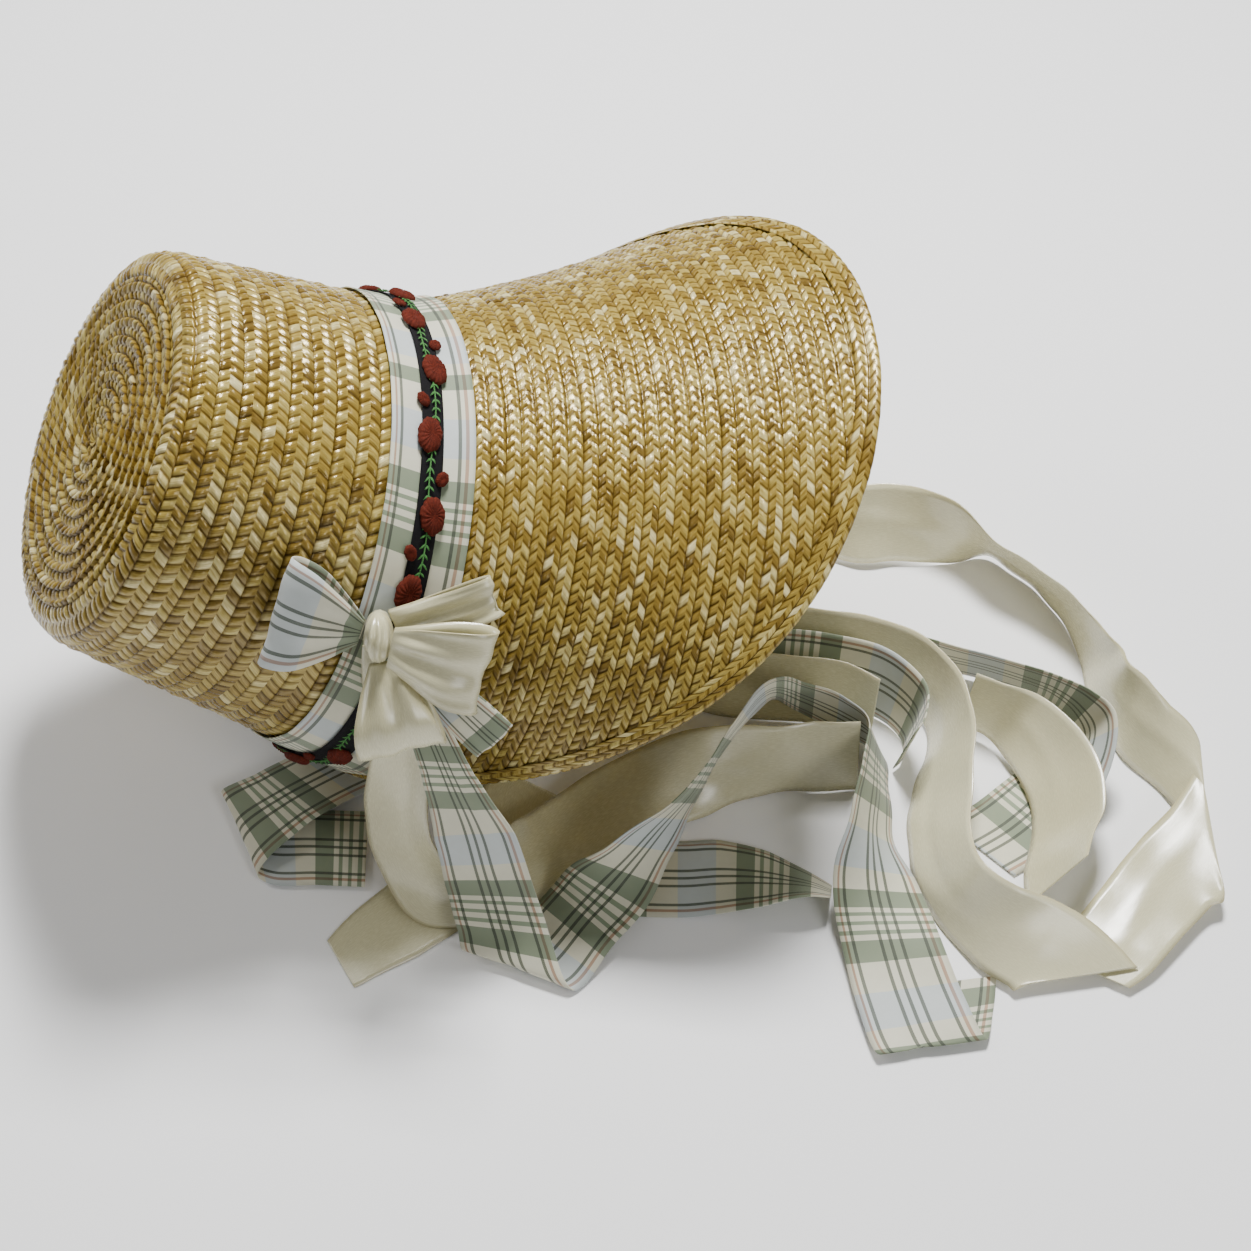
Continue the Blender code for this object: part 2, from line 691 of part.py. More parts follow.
def bow_loop(name, direction, length, waist, end_share, bulge, root, dip, cloth):
    """A ribbon loop that leaves the knot, widens, turns and comes back underneath."""
    a = math.radians(direction)
    out = bow_right * math.cos(a) + bow_up * math.sin(a)
    wide = bow_up * math.cos(a) - bow_right * math.sin(a)
    lower = root - bulge * LOOP_UNDER
    reach = knot_reach(a, 0.0 if lower < 0.0 < root else min(abs(lower), abs(root)))
    loop_points = []
    total = len(LOOP_COURSE)
    for i in range(total - 1):
        rows = [LOOP_COURSE[max(0, min(total - 1, j))] for j in (i - 1, i, i + 1, i + 2)]
        for k in range(LOOP_STEPS + (1 if i == total - 2 else 0)):
            t = k / LOOP_STEPS
            far, high, broad = curve(*[Vector(r) for r in rows], t)
            share = waist + (end_share - waist) * broad
            middle = (
                knot_middle
                + out * (reach + length * far)
                + knot_normal * (root + bulge * high - dip * far * far)
            )
            half = wide * RIBBON_WIDTH * share / 2.0
            loop_points += [middle - half, middle + half]
    loop_faces = [(2 * i, 2 * i + 1, 2 * i + 3, 2 * i + 2) for i in range(len(loop_points) // 2 - 1)]
    return add_object(name, loop_points, loop_faces, cloth, RIBBON_WALL)


for row in BOW_LOOPS:
    bow_loop(*row, "plaid" if "plaid" in row[0] else "satin")

# Ties
for name, rows, cloth in RIBBONS:
    root = TIE_ROOTS.get(name)
    strip(name, (tie_root(*root),) + rows if root else rows, cloth)

# Rounded pieces shaded smooth, and the whole set over the origin
bpy.context.view_layer.update()
views = bpy.context.evaluated_depsgraph_get()
low = Vector((1.0, 1.0, 1.0))
high = -low
for obj in bonnet_set.objects:
    obj.data.shade_smooth()
    shown = obj.evaluated_get(views)
    for vertex in shown.data.vertices:
        corner = obj.matrix_world @ vertex.co
        low = Vector(map(min, low, corner))
        high = Vector(map(max, high, corner))
to_origin = Matrix.Translation((-(low.x + high.x) / 2.0, -(low.y + high.y) / 2.0, -low.z))
for obj in bonnet_set.objects:
    obj.matrix_world = to_origin @ obj.matrix_world
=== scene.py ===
"""Poke bonnet of plaited straw, with a plaid hatband, an embroidered trim, a bow and long ties.

The bonnet has its own frame, as in the CAD part: x runs along the crown toward the face, y to the
far side, z to the top of the head, and angles round it grow from the top toward the near side.
"""
import math

import bpy
import numpy as np
from mathutils import Matrix, Vector


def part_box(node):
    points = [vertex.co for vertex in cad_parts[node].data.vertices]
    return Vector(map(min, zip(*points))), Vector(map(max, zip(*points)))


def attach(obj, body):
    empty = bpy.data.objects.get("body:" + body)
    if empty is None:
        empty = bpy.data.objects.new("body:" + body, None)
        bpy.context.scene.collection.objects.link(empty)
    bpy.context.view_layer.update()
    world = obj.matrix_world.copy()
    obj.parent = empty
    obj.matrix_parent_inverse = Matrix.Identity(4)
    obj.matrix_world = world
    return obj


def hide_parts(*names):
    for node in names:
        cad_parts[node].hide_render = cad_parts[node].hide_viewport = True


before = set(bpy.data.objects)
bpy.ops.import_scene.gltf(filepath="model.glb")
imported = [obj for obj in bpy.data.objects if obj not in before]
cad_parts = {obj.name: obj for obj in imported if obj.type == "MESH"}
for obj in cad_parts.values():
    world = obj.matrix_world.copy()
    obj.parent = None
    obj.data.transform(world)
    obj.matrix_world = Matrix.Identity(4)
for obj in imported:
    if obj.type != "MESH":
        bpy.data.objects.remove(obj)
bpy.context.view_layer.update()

# Sizes of the part, in metres
STRAW_WALL = 0.002
SEAM_RADIUS = 0.100
TIP_RADIUS = 0.0805
TIP_EDGE = 0.011
CROWN_DEPTH = 0.125
TIP_TILT = math.radians(10.3)
TIP_RISE = 0.008
BRIM_FRONT = 0.180
BRIM_NAPE = 0.014
FLARE_AT_SEAM = math.radians(17.0)
FLARE_GROWTH = math.radians(18.0)
FLARE_REACH = 0.160
RIM_BRAID_WIDTH = 0.010
RIM_BRAID_WALL = 0.003
CLEARANCE = 0.0003

# Pose of the bonnet on the table
BONNET_TURN = math.radians(10.7)
BONNET_PITCH = math.radians(24.0)
BONNET_ROLL = math.radians(4.2)
SEAM_X = -0.130
SEAM_Y = 0.012

# Ribbon
RIBBON_WIDTH = 0.040
RIBBON_WALL = 0.001
TABLE_GAP = 0.0001
HATBAND_BACK = 0.0285
HATBAND_FRONT = 0.0125
TRIM_WIDTH = 0.011
TRIM_WALL = 0.0008
FLOWER_LENGTH = 0.0155
FLOWER_WIDTH = 0.0105
FLOWER_HEIGHT = 0.0030
FLOWER_PITCH = math.radians(18.0)
FLOWER_OFFSET = 0.0022
FLOWER_START = 1.00
# Pitches above and below the bow's angle where it and the ties leave no room for flowers
BOW_COVER = 0.45
TIES_COVER = 1.6

# Bow on the near side
BOW_ANGLE = math.radians(63.0)
BOW_BACK = 0.016
BOW_LEAN = 0.030
KNOT_LENGTH = 0.020
KNOT_WIDTH = 0.012
KNOT_DEPTH = 0.0235

# Brim length round the head: angle in degrees, share of the way from nape length to front length
BRIM_SHARES = (
    (0, 1.000),
    (15, 0.980),
    (30, 0.910),
    (45, 0.800),
    (60, 0.645),
    (75, 0.465),
    (90, 0.285),
    (105, 0.125),
    (120, 0.030),
    (135, 0.000),
    (180, 0.000),
)
# Bow loops: name, direction in degrees, length, share of ribbon width at the root and at the end,
# bulge, height of the root over the knot's middle, dip of the end
BOW_LOOPS = (
    ("bow_plaid_loop_left", 160, 0.034, 0.26, 1.15, 0.010, 0.002, -0.003),
    ("bow_satin_loop_upper", 21, 0.042, 0.40, 0.42, 0.005, -0.002, -0.001),
    ("bow_satin_loop_middle", -13, 0.038, 0.40, 0.88, 0.010, 0.0085, 0.000),
    ("bow_satin_loop_lower", -80, 0.038, 0.30, 0.88, 0.010, 0.002, 0.002),
    ("bow_plaid_loop_right", -46, 0.056, 0.20, 0.50, 0.003, -0.0048, -0.001),
)

# Ribbon stations: x, y, z of the middle, turn and rise of the width in degrees, share of the width
NEAR_PLAID = (
    (-0.1, -0.0945, 0.122, -3, 2, 0.4),
    (-0.092, -0.1025, 0.106, -6, 4, 0.48),
    (-0.086, -0.11, 0.09, -10, 6, 0.55),
    (-0.076, -0.119, 0.058, -6, 14, 0.88),
    (-0.071, -0.126, 0.032, -12, 16, 1.0),
    (-0.065, -0.139, 0.014, -14, 8, 1.05),
    (-0.06, -0.15, 0.006, -20, 0, 1.18),
    (-0.049, -0.144, 0.002, -34, 0, 1.08),
    (-0.03, -0.124, 0.01, -42, -6, 0.95),
    (-0.007, -0.104, 0.026, 20, -38, 0.9),
    (0.015, -0.086, 0.045, 68, -52, 0.85),
    (0.034, -0.065, 0.062, 76, -56, 0.85),
    (0.05, -0.041, 0.058, 80, -66, 0.9),
    (0.066, -0.029, 0.036, 82, -74, 0.95),
    (0.085, -0.028, 0.0225, 76, -76, 0.95),
    (0.099, -0.04, 0.021, 40, -72, 0.95),
    (0.097, -0.062, 0.021, 30, -62, 0.95),
    (0.094, -0.09, 0.0185, 20, -50, 1.0),
    (0.095, -0.114, 0.012, 4, -14, 1.0),
    (0.099, -0.137, 0.009, -2, 8, 1.05),
    (0.105, -0.164, 0.007, 6, 6, 1.1),
    (0.113, -0.187, 0.005, 9, 0, 1.15),
    (0.12, -0.172, 0.0012, 10, 0, 1.05),
    (0.124, -0.154, 0.0012, 8, 0, 1.0),
)
NEAR_SATIN = (
    (-0.111, -0.0905, 0.122, -4, 2, 0.42),
    (-0.108, -0.0955, 0.105, -10, 4, 0.52),
    (-0.106, -0.1, 0.088, -16, 6, 0.62),
    (-0.11, -0.104, 0.056, -22, 6, 0.76),
    (-0.106, -0.109, 0.031, -20, 12, 0.88),
    (-0.09, -0.118, 0.0144, 20, 32, 1.0),
    (-0.07, -0.108, 0.012, 80, 22, 1.0),
    (-0.048, -0.092, 0.008, 118, 12, 1.0),
    (-0.02, -0.07, 0.008, 132, 12, 1.0),
    (0.004, -0.058, 0.011, 128, 25, 1.0),
    (0.026, -0.054, 0.018, 112, 58, 1.0),
    (0.048, -0.052, 0.021, 100, 76, 1.0),
    (0.068, -0.05, 0.021, 98, 78, 1.0),
    (0.08, -0.05, 0.021, 96, 78, 1.0),
    (0.0905, -0.0495, 0.021, 94, 78, 1.0),
)
MID_PLAID = (
    (-0.012, -0.101, 0.0012, -90, 0, 1.0),
    (0.011, -0.102, 0.0012, -91, 0, 1.0),
    (0.028, -0.102, 0.003, -92, 4, 1.0),
    (0.048, -0.106, 0.008, -94, 16, 0.9),
    (0.064, -0.11, 0.01, -96, 32, 0.7),
    (0.0755, -0.113, 0.008, -98, 40, 0.45),
)
ARCH_PLAID = (
    (0.004, 0.003, 0.021, 86, 80, 1.0),
    (0.03, 0.004, 0.021, 86, 78, 1.0),
    (0.06, 0.004, 0.021, 82, 78, 1.0),
    (0.088, -0.001, 0.021, 70, 78, 1.0),
    (0.106, -0.01, 0.021, 48, 78, 1.0),
    (0.117, -0.025, 0.021, 14, 78, 1.0),
    (0.116, -0.039, 0.021, -20, 78, 0.95),
    (0.111, -0.046, 0.02, -45, 76, 0.9),
)
ARCH_SATIN = (
    (0.004, 0.0046, 0.021, 86, 80, 1.0),
    (0.03, 0.012, 0.021, 88, 78, 1.0),
    (0.06, 0.016, 0.022, 86, 76, 1.0),
    (0.09, 0.012, 0.022, 76, 76, 1.0),
    (0.114, 0.002, 0.022, 58, 74, 1.0),
    (0.13, -0.017, 0.022, 24, 72, 1.0),
    (0.132, -0.038, 0.021, 2, 64, 1.0),
    (0.127, -0.06, 0.018, -12, 52, 1.0),
    (0.124, -0.082, 0.017, -18, 50, 1.0),
    (0.124, -0.104, 0.018, -14, 56, 1.0),
    (0.13, -0.122, 0.019, 14, 62, 1.0),
    (0.143, -0.136, 0.018, 40, 50, 1.0),
    (0.161, -0.144, 0.013, 46, 26, 1.05),
    (0.178, -0.1545, 0.0064, 9, 0, 1.28),
)
INNER_SATIN = (
    (0.004, 0.0014, 0.021, 86, 80, 1.0),
    (0.03, -0.008, 0.021, 92, 80, 1.0),
    (0.06, -0.011, 0.021, 92, 80, 1.0),
    (0.085, -0.015, 0.021, 86, 80, 1.0),
    (0.0995, -0.024, 0.021, 70, 80, 0.95),
)
FAR_SATIN = (
    (-0.139, 0.118, 0.124, 178, 6, 0.6),
    (-0.149, 0.127, 0.092, 176, 4, 0.85),
    (-0.15, 0.138, 0.056, 172, 10, 1.0),
    (-0.13, 0.15, 0.028, 150, 38, 1.0),
    (-0.09, 0.159, 0.021, 118, 66, 1.0),
    (-0.045, 0.158, 0.021, 100, 72, 1.0),
    (0.0, 0.146, 0.021, 80, 74, 1.0),
    (0.06, 0.11, 0.021, 78, 66, 1.0),
    (0.094, 0.092, 0.021, 86, 60, 1.0),
    (0.118, 0.092, 0.021, 98, 62, 1.0),
    (0.142, 0.086, 0.021, 112, 80, 1.0),
    (0.164, 0.075, 0.0195, -92, 58, 1.0),
    (0.184, 0.057, 0.018, -84, 54, 1.0),
    (0.199, 0.032, 0.018, -76, 56, 1.0),
    (0.206, 0.011, 0.019, -60, 64, 1.0),
    (0.209, -0.01, 0.0205, -10, 78, 1.0),
    (0.217, -0.028, 0.02, 60, 64, 1.0),
    (0.23, -0.042, 0.016, 84, 44, 1.0),
    (0.241, -0.058, 0.014, 88, 24, 1.15),
    (0.2435, -0.078, 0.0125, 92, 8, 1.45),
    (0.237, -0.094, 0.011, 108, 4, 1.25),
    (0.224, -0.106, 0.0095, 134, 2, 1.05),
    (0.209, -0.123, 0.008, 146, 1, 1.0),
    (0.192, -0.142, 0.0054, 152, 0, 1.0),
    (0.182, -0.15, 0.0044, 152, 0, 0.96),
)
LOOP_SATIN = (
    (0.1425, -0.0175, 0.021, 50, 77, 0.8),
    (0.153, -0.023, 0.021, 40, 76, 0.8),
    (0.165, -0.032, 0.0208, 24, 62, 0.9),
    (0.175, -0.046, 0.0203, 4, 50, 1.0),
    (0.181, -0.064, 0.0193, -8, 46, 1.0),
    (0.18, -0.083, 0.0183, -8, 46, 1.0),
    (0.174, -0.1, 0.0178, -2, 50, 1.0),
    (0.172, -0.114, 0.0182, 8, 58, 1.0),
)
BACK_PLAID = (
    (0.124, 0.0105, 0.021, -108, 70, 1.0),
    (0.138, 0.006, 0.021, -108, 68, 1.0),
    (0.153, 0.001, 0.021, -108, 67, 1.0),
    (0.169, -0.005, 0.021, -106, 68, 1.0),
    (0.182, -0.012, 0.021, -96, 70, 1.0),
    (0.192, -0.023, 0.021, -60, 72, 1.0),
    (0.196, -0.036, 0.019, -24, 62, 1.0),
    (0.188, -0.049, 0.011, -50, 30, 1.0),
    (0.173, -0.063, 0.004, -50, 6, 1.0),
    (0.158, -0.076, 0.0018, -48, 0, 1.0),
    (0.143, -0.086, 0.0014, -46, 0, 1.0),
)
LEFT_PLAID = (
    (-0.1172, -0.0292, 0.0051, -38, 0, 1.0),
    (-0.146, -0.048, 0.007, -42, 6, 1.0),
    (-0.167, -0.064, 0.009, -46, 6, 1.0),
    (-0.184, -0.079, 0.006, -62, 0, 1.16),
    (-0.172, -0.085, 0.0026, -78, 0, 1.06),
    (-0.152, -0.086, 0.0026, -85, 0, 1.0),
    (-0.128, -0.087, 0.0026, -88, 0, 1.0),
)
LEFT_SATIN = (
    (-0.135, -0.145, 0.0008, -60, 0, 0.66),
    (-0.124, -0.134, 0.0008, -66, 0, 0.85),
    (-0.109, -0.122, 0.0008, -68, 0, 1.0),
    (-0.088, -0.104, 0.0008, -60, 0, 1.0),
    (-0.07, -0.08, 0.0008, -42, 0, 1.0),
    (-0.056, -0.05, 0.0008, -30, 0, 1.0),
)

# Ties that leave the knot: height over its middle, offset to the right, share of width
TIE_ROOTS = {
    "near_plaid_tie": (-0.0070, 0.0020, 0.26),
    "near_satin_tie": (-0.0086, -0.0020, 0.28),
}

# Ties: name, stations, cloth, height of the ripples, how the cloth is held, what it rests on
RIBBONS = (
    ("near_plaid_tie", NEAR_PLAID, "plaid", 0.0007, "hung", "satin_knot"),
    ("near_satin_tie", NEAR_SATIN, "satin", 0.0011, "hung", "satin_knot"),
    ("mid_plaid_tie", MID_PLAID, "plaid", 0.0003, "folded", "near_plaid_tie_ribbon"),
    ("arch_plaid_tie", ARCH_PLAID, "plaid", 0.0004, "laid", "near_satin_tie_ribbon"),
    ("arch_satin_tie", ARCH_SATIN, "satin", 0.0009, "laid", "arch_plaid_tie_ribbon"),
    ("inner_satin_tie", INNER_SATIN, "satin", 0.0003, "laid", "arch_plaid_tie_ribbon"),
    ("loop_satin_tie", LOOP_SATIN, "satin", 0.0008, "laid", "arch_satin_tie_ribbon"),
    ("far_satin_tie", FAR_SATIN, "satin", 0.0010, "laid", "straw_crown_side"),
    ("back_plaid_tie", BACK_PLAID, "plaid", 0.0003, "folded", "arch_satin_tie_ribbon"),
    ("left_plaid_tie", LEFT_PLAID, "plaid", 0.0003, "laid", "straw_rim_braid"),
    ("left_satin_tie", LEFT_SATIN, "satin", 0.0002, "laid", "straw_rim_braid"),
)

LOOP_UNDER = 0.14

# Loop course: share of the length, share of the bulge, share of the end width
LOOP_COURSE = (
    (0.00, 0.10, 0.00),
    (0.30, 0.62, 0.45),
    (0.62, 1.00, 0.85),
    (0.90, 0.80, 1.00),
    (1.00, 0.35, 1.00),
    (0.88, 0.00, 0.98),
    (0.60, -0.10, 0.82),
    (0.30, -0.12, 0.45),
    (0.00, -LOOP_UNDER, 0.00),
)


TWO_PI = 2.0 * math.pi


# Shapes of the part, for arrays of angles and lengths
FLARE_LENGTH = 0.21
FLARE_SAMPLES = 421
BRIM_BLUR = 6.0
NORMAL_STEP = 2e-4
flare_s = np.linspace(0.0, FLARE_LENGTH, FLARE_SAMPLES)
flare = FLARE_AT_SEAM + FLARE_GROWTH * flare_s / FLARE_REACH
flare_step = flare_s[1] - flare_s[0]


def along_flare(slope):
    """Way gone along one axis at every sample of the brim's profile."""
    return np.concatenate([[0.0], np.cumsum((slope[1:] + slope[:-1]) / 2.0)]) * flare_step


profile_x = along_flare(np.cos(flare))
profile_r = along_flare(np.sin(flare))


def ring_point(middle, up, angle, radius):
    """Points round an axis: sideways -y, upward along up."""
    out = np.empty(np.broadcast(angle, radius, middle[..., 0]).shape + (3,))
    out[..., 0] = middle[..., 0] + up[..., 0] * np.cos(angle) * radius
    out[..., 1] = middle[..., 1] - np.sin(angle) * radius
    out[..., 2] = middle[..., 2] + up[..., 2] * np.cos(angle) * radius
    return out


def brim_point(angle, s):
    """Brim wall at a length from the seam."""
    x = np.interp(s, flare_s, profile_x)
    r = SEAM_RADIUS + np.interp(s, flare_s, profile_r)
    zero = np.zeros(np.broadcast(angle, s).shape)
    middle = np.stack([x + zero, zero, zero], -1)
    up = np.stack([zero, zero, zero + 1.0], -1)
    return ring_point(middle, up, angle, r)


def crown_point(angle, t, drawn):
    """Crown wall at a share t from tip to seam, drawn in by a length."""
    lean = TIP_TILT * (1.0 - t)
    zero = np.zeros(np.broadcast(angle, t).shape)
    back = CROWN_DEPTH * (1.0 - t)
    x = zero - math.cos(TIP_TILT) * back
    z = zero + math.sin(TIP_TILT) * back + TIP_RISE * (1.0 - t)
    middle = np.stack([x, zero, z], -1)
    up = np.stack([zero + np.sin(lean), zero, zero + np.cos(lean)], -1)
    return ring_point(middle, up, angle, TIP_RADIUS + (SEAM_RADIUS - TIP_RADIUS) * t - drawn)


EDGE_DEPTH = 0.009
EDGE_ARC = (TIP_EDGE + EDGE_DEPTH) / 2.0 * math.pi / 2.0
CROWN_ARC = EDGE_ARC + CROWN_DEPTH - EDGE_DEPTH


def side_point(angle, w):
    """Crown from the edge of the tip disc, over the rounded edge, along the wall to the seam."""
    turn = np.clip(w / EDGE_ARC, 0.0, 1.0) * math.pi / 2.0
    depth = EDGE_DEPTH * (1.0 - np.cos(turn)) + np.maximum(w - EDGE_ARC, 0.0)
    return crown_point(angle, depth / CROWN_DEPTH, TIP_EDGE * (1.0 - np.sin(turn)))


def tip_point(angle, r):
    """Flat tip of the crown at a radius."""
    return crown_point(angle, np.zeros(np.broadcast(angle, r).shape), TIP_RADIUS - r)


def seam_point(angle, s):
    """Straw round the seam: s below zero is crown, above zero is brim."""
    crown = crown_point(angle, 1.0 + np.minimum(s, 0.0) / CROWN_DEPTH, 0.0)
    return np.where((s >= 0.0)[..., None], brim_point(angle, np.maximum(s, 0.0)), crown)


def brim_length(angle):
    """Length of the brim round the head, its table's corners smoothed."""
    degrees = np.degrees(angle) % 360.0
    degrees = np.minimum(degrees, 360.0 - degrees)
    at, share = np.array(BRIM_SHARES).T
    shifts = (-BRIM_BLUR, 0.0, BRIM_BLUR)
    mean = sum(np.interp(np.abs(degrees + shift), at, share) for shift in shifts) / len(shifts)
    return BRIM_NAPE + (BRIM_FRONT - BRIM_NAPE) * mean


def rim_point(angle, m):
    """Wrap round the rim: m runs over the outside, round the edge and back inside."""
    nose = RIM_BRAID_WALL / 2.0
    flat = RIM_BRAID_WIDTH - nose
    turn = np.clip((m - flat) / nose, 0.0, math.pi)
    inner = np.maximum(m - flat - math.pi * nose, 0.0)
    s = brim_length(angle) - RIM_BRAID_WIDTH + np.minimum(m, flat) - inner + nose * np.sin(turn)
    height = nose * np.cos(turn)
    return brim_point(angle, s) + normals(brim_point, angle, s) * height[..., None]


def normals(surface, angle, w):
    """Outward unit normals of a surface."""
    round_way = surface(angle + NORMAL_STEP, w) - surface(angle - NORMAL_STEP, w)
    long_way = surface(angle, w + NORMAL_STEP) - surface(angle, w - NORMAL_STEP)
    normal = np.cross(round_way, long_way)
    return normal / np.maximum(np.linalg.norm(normal, axis=-1, keepdims=True), 1e-12)


# Pose of the bonnet, as in the part
spin = (
    Matrix.Rotation(BONNET_TURN, 4, "Z")
    @ Matrix.Rotation(BONNET_PITCH, 4, "Y")
    @ Matrix.Rotation(BONNET_ROLL, 4, "X")
)
rim_angles = np.radians(np.arange(360.0))
rim_length = brim_length(rim_angles)
turned = np.array(spin)[:3, :3]
rim_normal = normals(brim_point, rim_angles, rim_length)
rim_middle = brim_point(rim_angles, rim_length)
rim_reach = rim_normal * RIM_BRAID_WALL / 2.0
lowest = min(((rim_middle + side * rim_reach) @ turned.T)[:, 2].min() for side in (-1.0, 1.0))
BONNET_POSE = Matrix.Translation((SEAM_X, SEAM_Y, TABLE_GAP - lowest)) @ spin

BAND_HEIGHT = STRAW_WALL / 2.0 + 3.0 * CLEARANCE + RIBBON_WALL / 2.0
TRIM_HEIGHT = BAND_HEIGHT + RIBBON_WALL / 2.0 + CLEARANCE + TRIM_WALL / 2.0
FLOWER_BASE = TRIM_HEIGHT + TRIM_WALL / 2.0 + CLEARANCE


def one(value):
    return np.array([value])


knot_point = Vector(seam_point(one(BOW_ANGLE), one(-BOW_BACK))[0])
knot_normal = Vector(normals(seam_point, one(BOW_ANGLE), one(BOW_LEAN))[0])
knot_normal = (BONNET_POSE.to_3x3() @ knot_normal).normalized()
bow_stand = TRIM_HEIGHT + TRIM_WALL / 2.0 + 2.0 * CLEARANCE + KNOT_DEPTH / 2.0
knot_middle = BONNET_POSE @ knot_point + knot_normal * bow_stand
bow_up = (Vector((0.0, 0.0, 1.0)) - knot_normal * knot_normal.z).normalized()
bow_right = bow_up.cross(knot_normal).normalized()
if bow_right.x < 0.0:
    bow_right = -bow_right

# The part's frame puts the whole set over the origin
knot_low, knot_high = (Vector(corner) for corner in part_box("bow_knot"))
SHIFT = (knot_low + knot_high) / 2.0 - knot_middle
POSE = np.array(Matrix.Translation(SHIFT) @ BONNET_POSE)


def posed(points):
    return points @ POSE[:3, :3].T + POSE[:3, 3]


def put_in(name, data):
    """An object in the scene."""
    obj = bpy.data.objects.new(name, data)
    bpy.context.scene.collection.objects.link(obj)
    return obj


# Mesh building
def add_mesh(name, points, quads, corner_uv, cloth, *nodes):
    """A smooth piece of one cloth that takes the place of CAD nodes."""
    points = points.reshape(-1, 3)
    used, quads = np.unique(quads, return_inverse=True)
    quads = quads.reshape(-1, 4)
    points = points[used]
    mesh = bpy.data.meshes.new(name)
    mesh.vertices.add(len(points))
    mesh.vertices.foreach_set("co", points.astype(np.float32).ravel())
    mesh.loops.add(quads.size)
    mesh.loops.foreach_set("vertex_index", quads.astype(np.int32).ravel())
    mesh.polygons.add(len(quads))
    mesh.polygons.foreach_set("loop_start", np.arange(0, quads.size, 4, dtype=np.int32))
    uv_layer = mesh.uv_layers.new(name="UVMap")
    uv_layer.data.foreach_set("uv", corner_uv.astype(np.float32).ravel())
    mesh.update(calc_edges=True)
    mesh.validate()
    mesh.shade_smooth()
    mesh.materials.append(MATERIALS[cloth])
    obj = put_in(name, mesh)
    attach(obj, "root")
    if nodes:
        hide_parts(*nodes)
    return obj


def grid_quads(rows, cols, wrap_cols=True, wrap_rows=False, flip=False):
    """Corner numbers of a grid's quads, row by row."""
    i = np.arange(rows if wrap_rows else rows - 1)[:, None]
    j = np.arange(cols if wrap_cols else cols - 1)[None, :]
    down = (i + 1) % rows
    right = (j + 1) % cols
    corners = [i * cols + j, i * cols + right, down * cols + right, down * cols + j]
    if flip:
        corners.reverse()
    return np.stack(corners, -1)


def grid_uv(low, high, flip=False):
    """Corner coordinates of a grid's quads, from the values on each row's two lines."""
    corners = [low[:, :-1], low[:, 1:], high[:, 1:], high[:, :-1]]
    if flip:
        corners.reverse()
    return np.stack(corners, -2)


# Straw plait: every row is two columns of slanted petals, the row's far edge lapping over the next
PETAL_SLANT = 0.62
PETAL_LENGTH = 0.0052
PETAL_TILT = 0.9
DOME_ROUND = 2.4
DOME_FULL = 0.6
LAP = 0.0007
LAP_RISE = 1.3
TIP_LAP = 0.0014
RIM_LAP = 0.0004
PUFF = 0.0011
RIM_PUFF = 0.0004
STRAW_BASE = 0.0001
ROW_WANDER = 0.0004
ROW_SHIFT = 0.4
TIP_MIDDLE = 2e-5
TIP_FADE = 0.8
TIP_EDGE_FADE = 0.001
STRAW_GLOSS = 1.0
TIP_GLOSS = 0.12
# A row's second column ends just short of the next whole number, which belongs to the next row
UV_SHORT = 0.002
FINE_LINES = (0.0, 0.08, 0.20, 0.35, 0.50, 0.65, 0.80, 0.92, 0.975)
COARSE_LINES = (0.0, 0.25, 0.50, 0.75, 0.97)
BRIM_LINES = (0.0, 0.12, 0.30, 0.50, 0.70, 0.88, 0.97)
BRIM_COARSE_LINES = (0.0, 0.32, 0.64, 0.96)


def petal_height(c, v, row, seed, lap, puff):
    """Height of the plait at petal coordinate c and row coordinate v."""
    second = v >= 0.5
    across = np.where(second, 2.0 * v - 1.0, 2.0 * v)
    petal = c + np.where(second, 0.5, 0.0)
    around = np.abs(2.0 * (petal % 1.0) - 1.0)
    # A fixed chance for each petal, from the digits of a sine
    number = np.floor(petal) * 12.9898 + row * 78.233 + second * 37.719 + seed
    chance = (np.sin(number) * 43758.5453) % 1.0
    dome = (1.0 - around**DOME_ROUND) * np.sin(np.clip(across, 0.0, 1.0) * math.pi) ** DOME_FULL
    tilt = ((chance * 7.0) % 1.0 - 0.5) * (petal % 1.0 - 0.5) * 2.0
    return lap * v**LAP_RISE + puff * (0.55 + 0.5 * chance + PETAL_TILT * tilt) * dome


def row_lines(lines, rows):
    """Row number and row coordinate of each line of a plait, with one line that closes it."""
    row = np.append(np.repeat(np.arange(rows), len(lines)), rows).astype(float)
    v = np.append(np.tile(lines, rows), 0.0)
    return row[:, None], v[:, None]


def zigzag(v):
    """Petals slant one way over a row's first half and back over its second."""
    return PETAL_SLANT * np.where(v < 0.5, 2.0 * v, 2.0 - 2.0 * v)


def petal_uv(c_low, c_high, row, v, flip):
    """Corner coordinates. Second petals count half a petal on, so one number is one petal."""
    low_v = v[:-1]
    high_v = np.where(v[1:] == 0.0, 1.0, v[1:])
    half = np.where(low_v >= 0.5, 0.5, 0.0)
    zero = np.zeros_like(c_low + half)
    low = np.stack([c_low + half, 2.0 * (row[:-1] + low_v) + zero], -1)
    high = np.stack([c_high + half, 2.0 * (row[:-1] + high_v) - UV_SHORT + zero], -1)
    return grid_uv(low, high, flip)


def any_corner(inside):
    """Quads of a grid with at least one corner inside."""
    return inside[:-1, :-1] | inside[1:, :-1] | inside[:-1, 1:] | inside[1:, 1:]


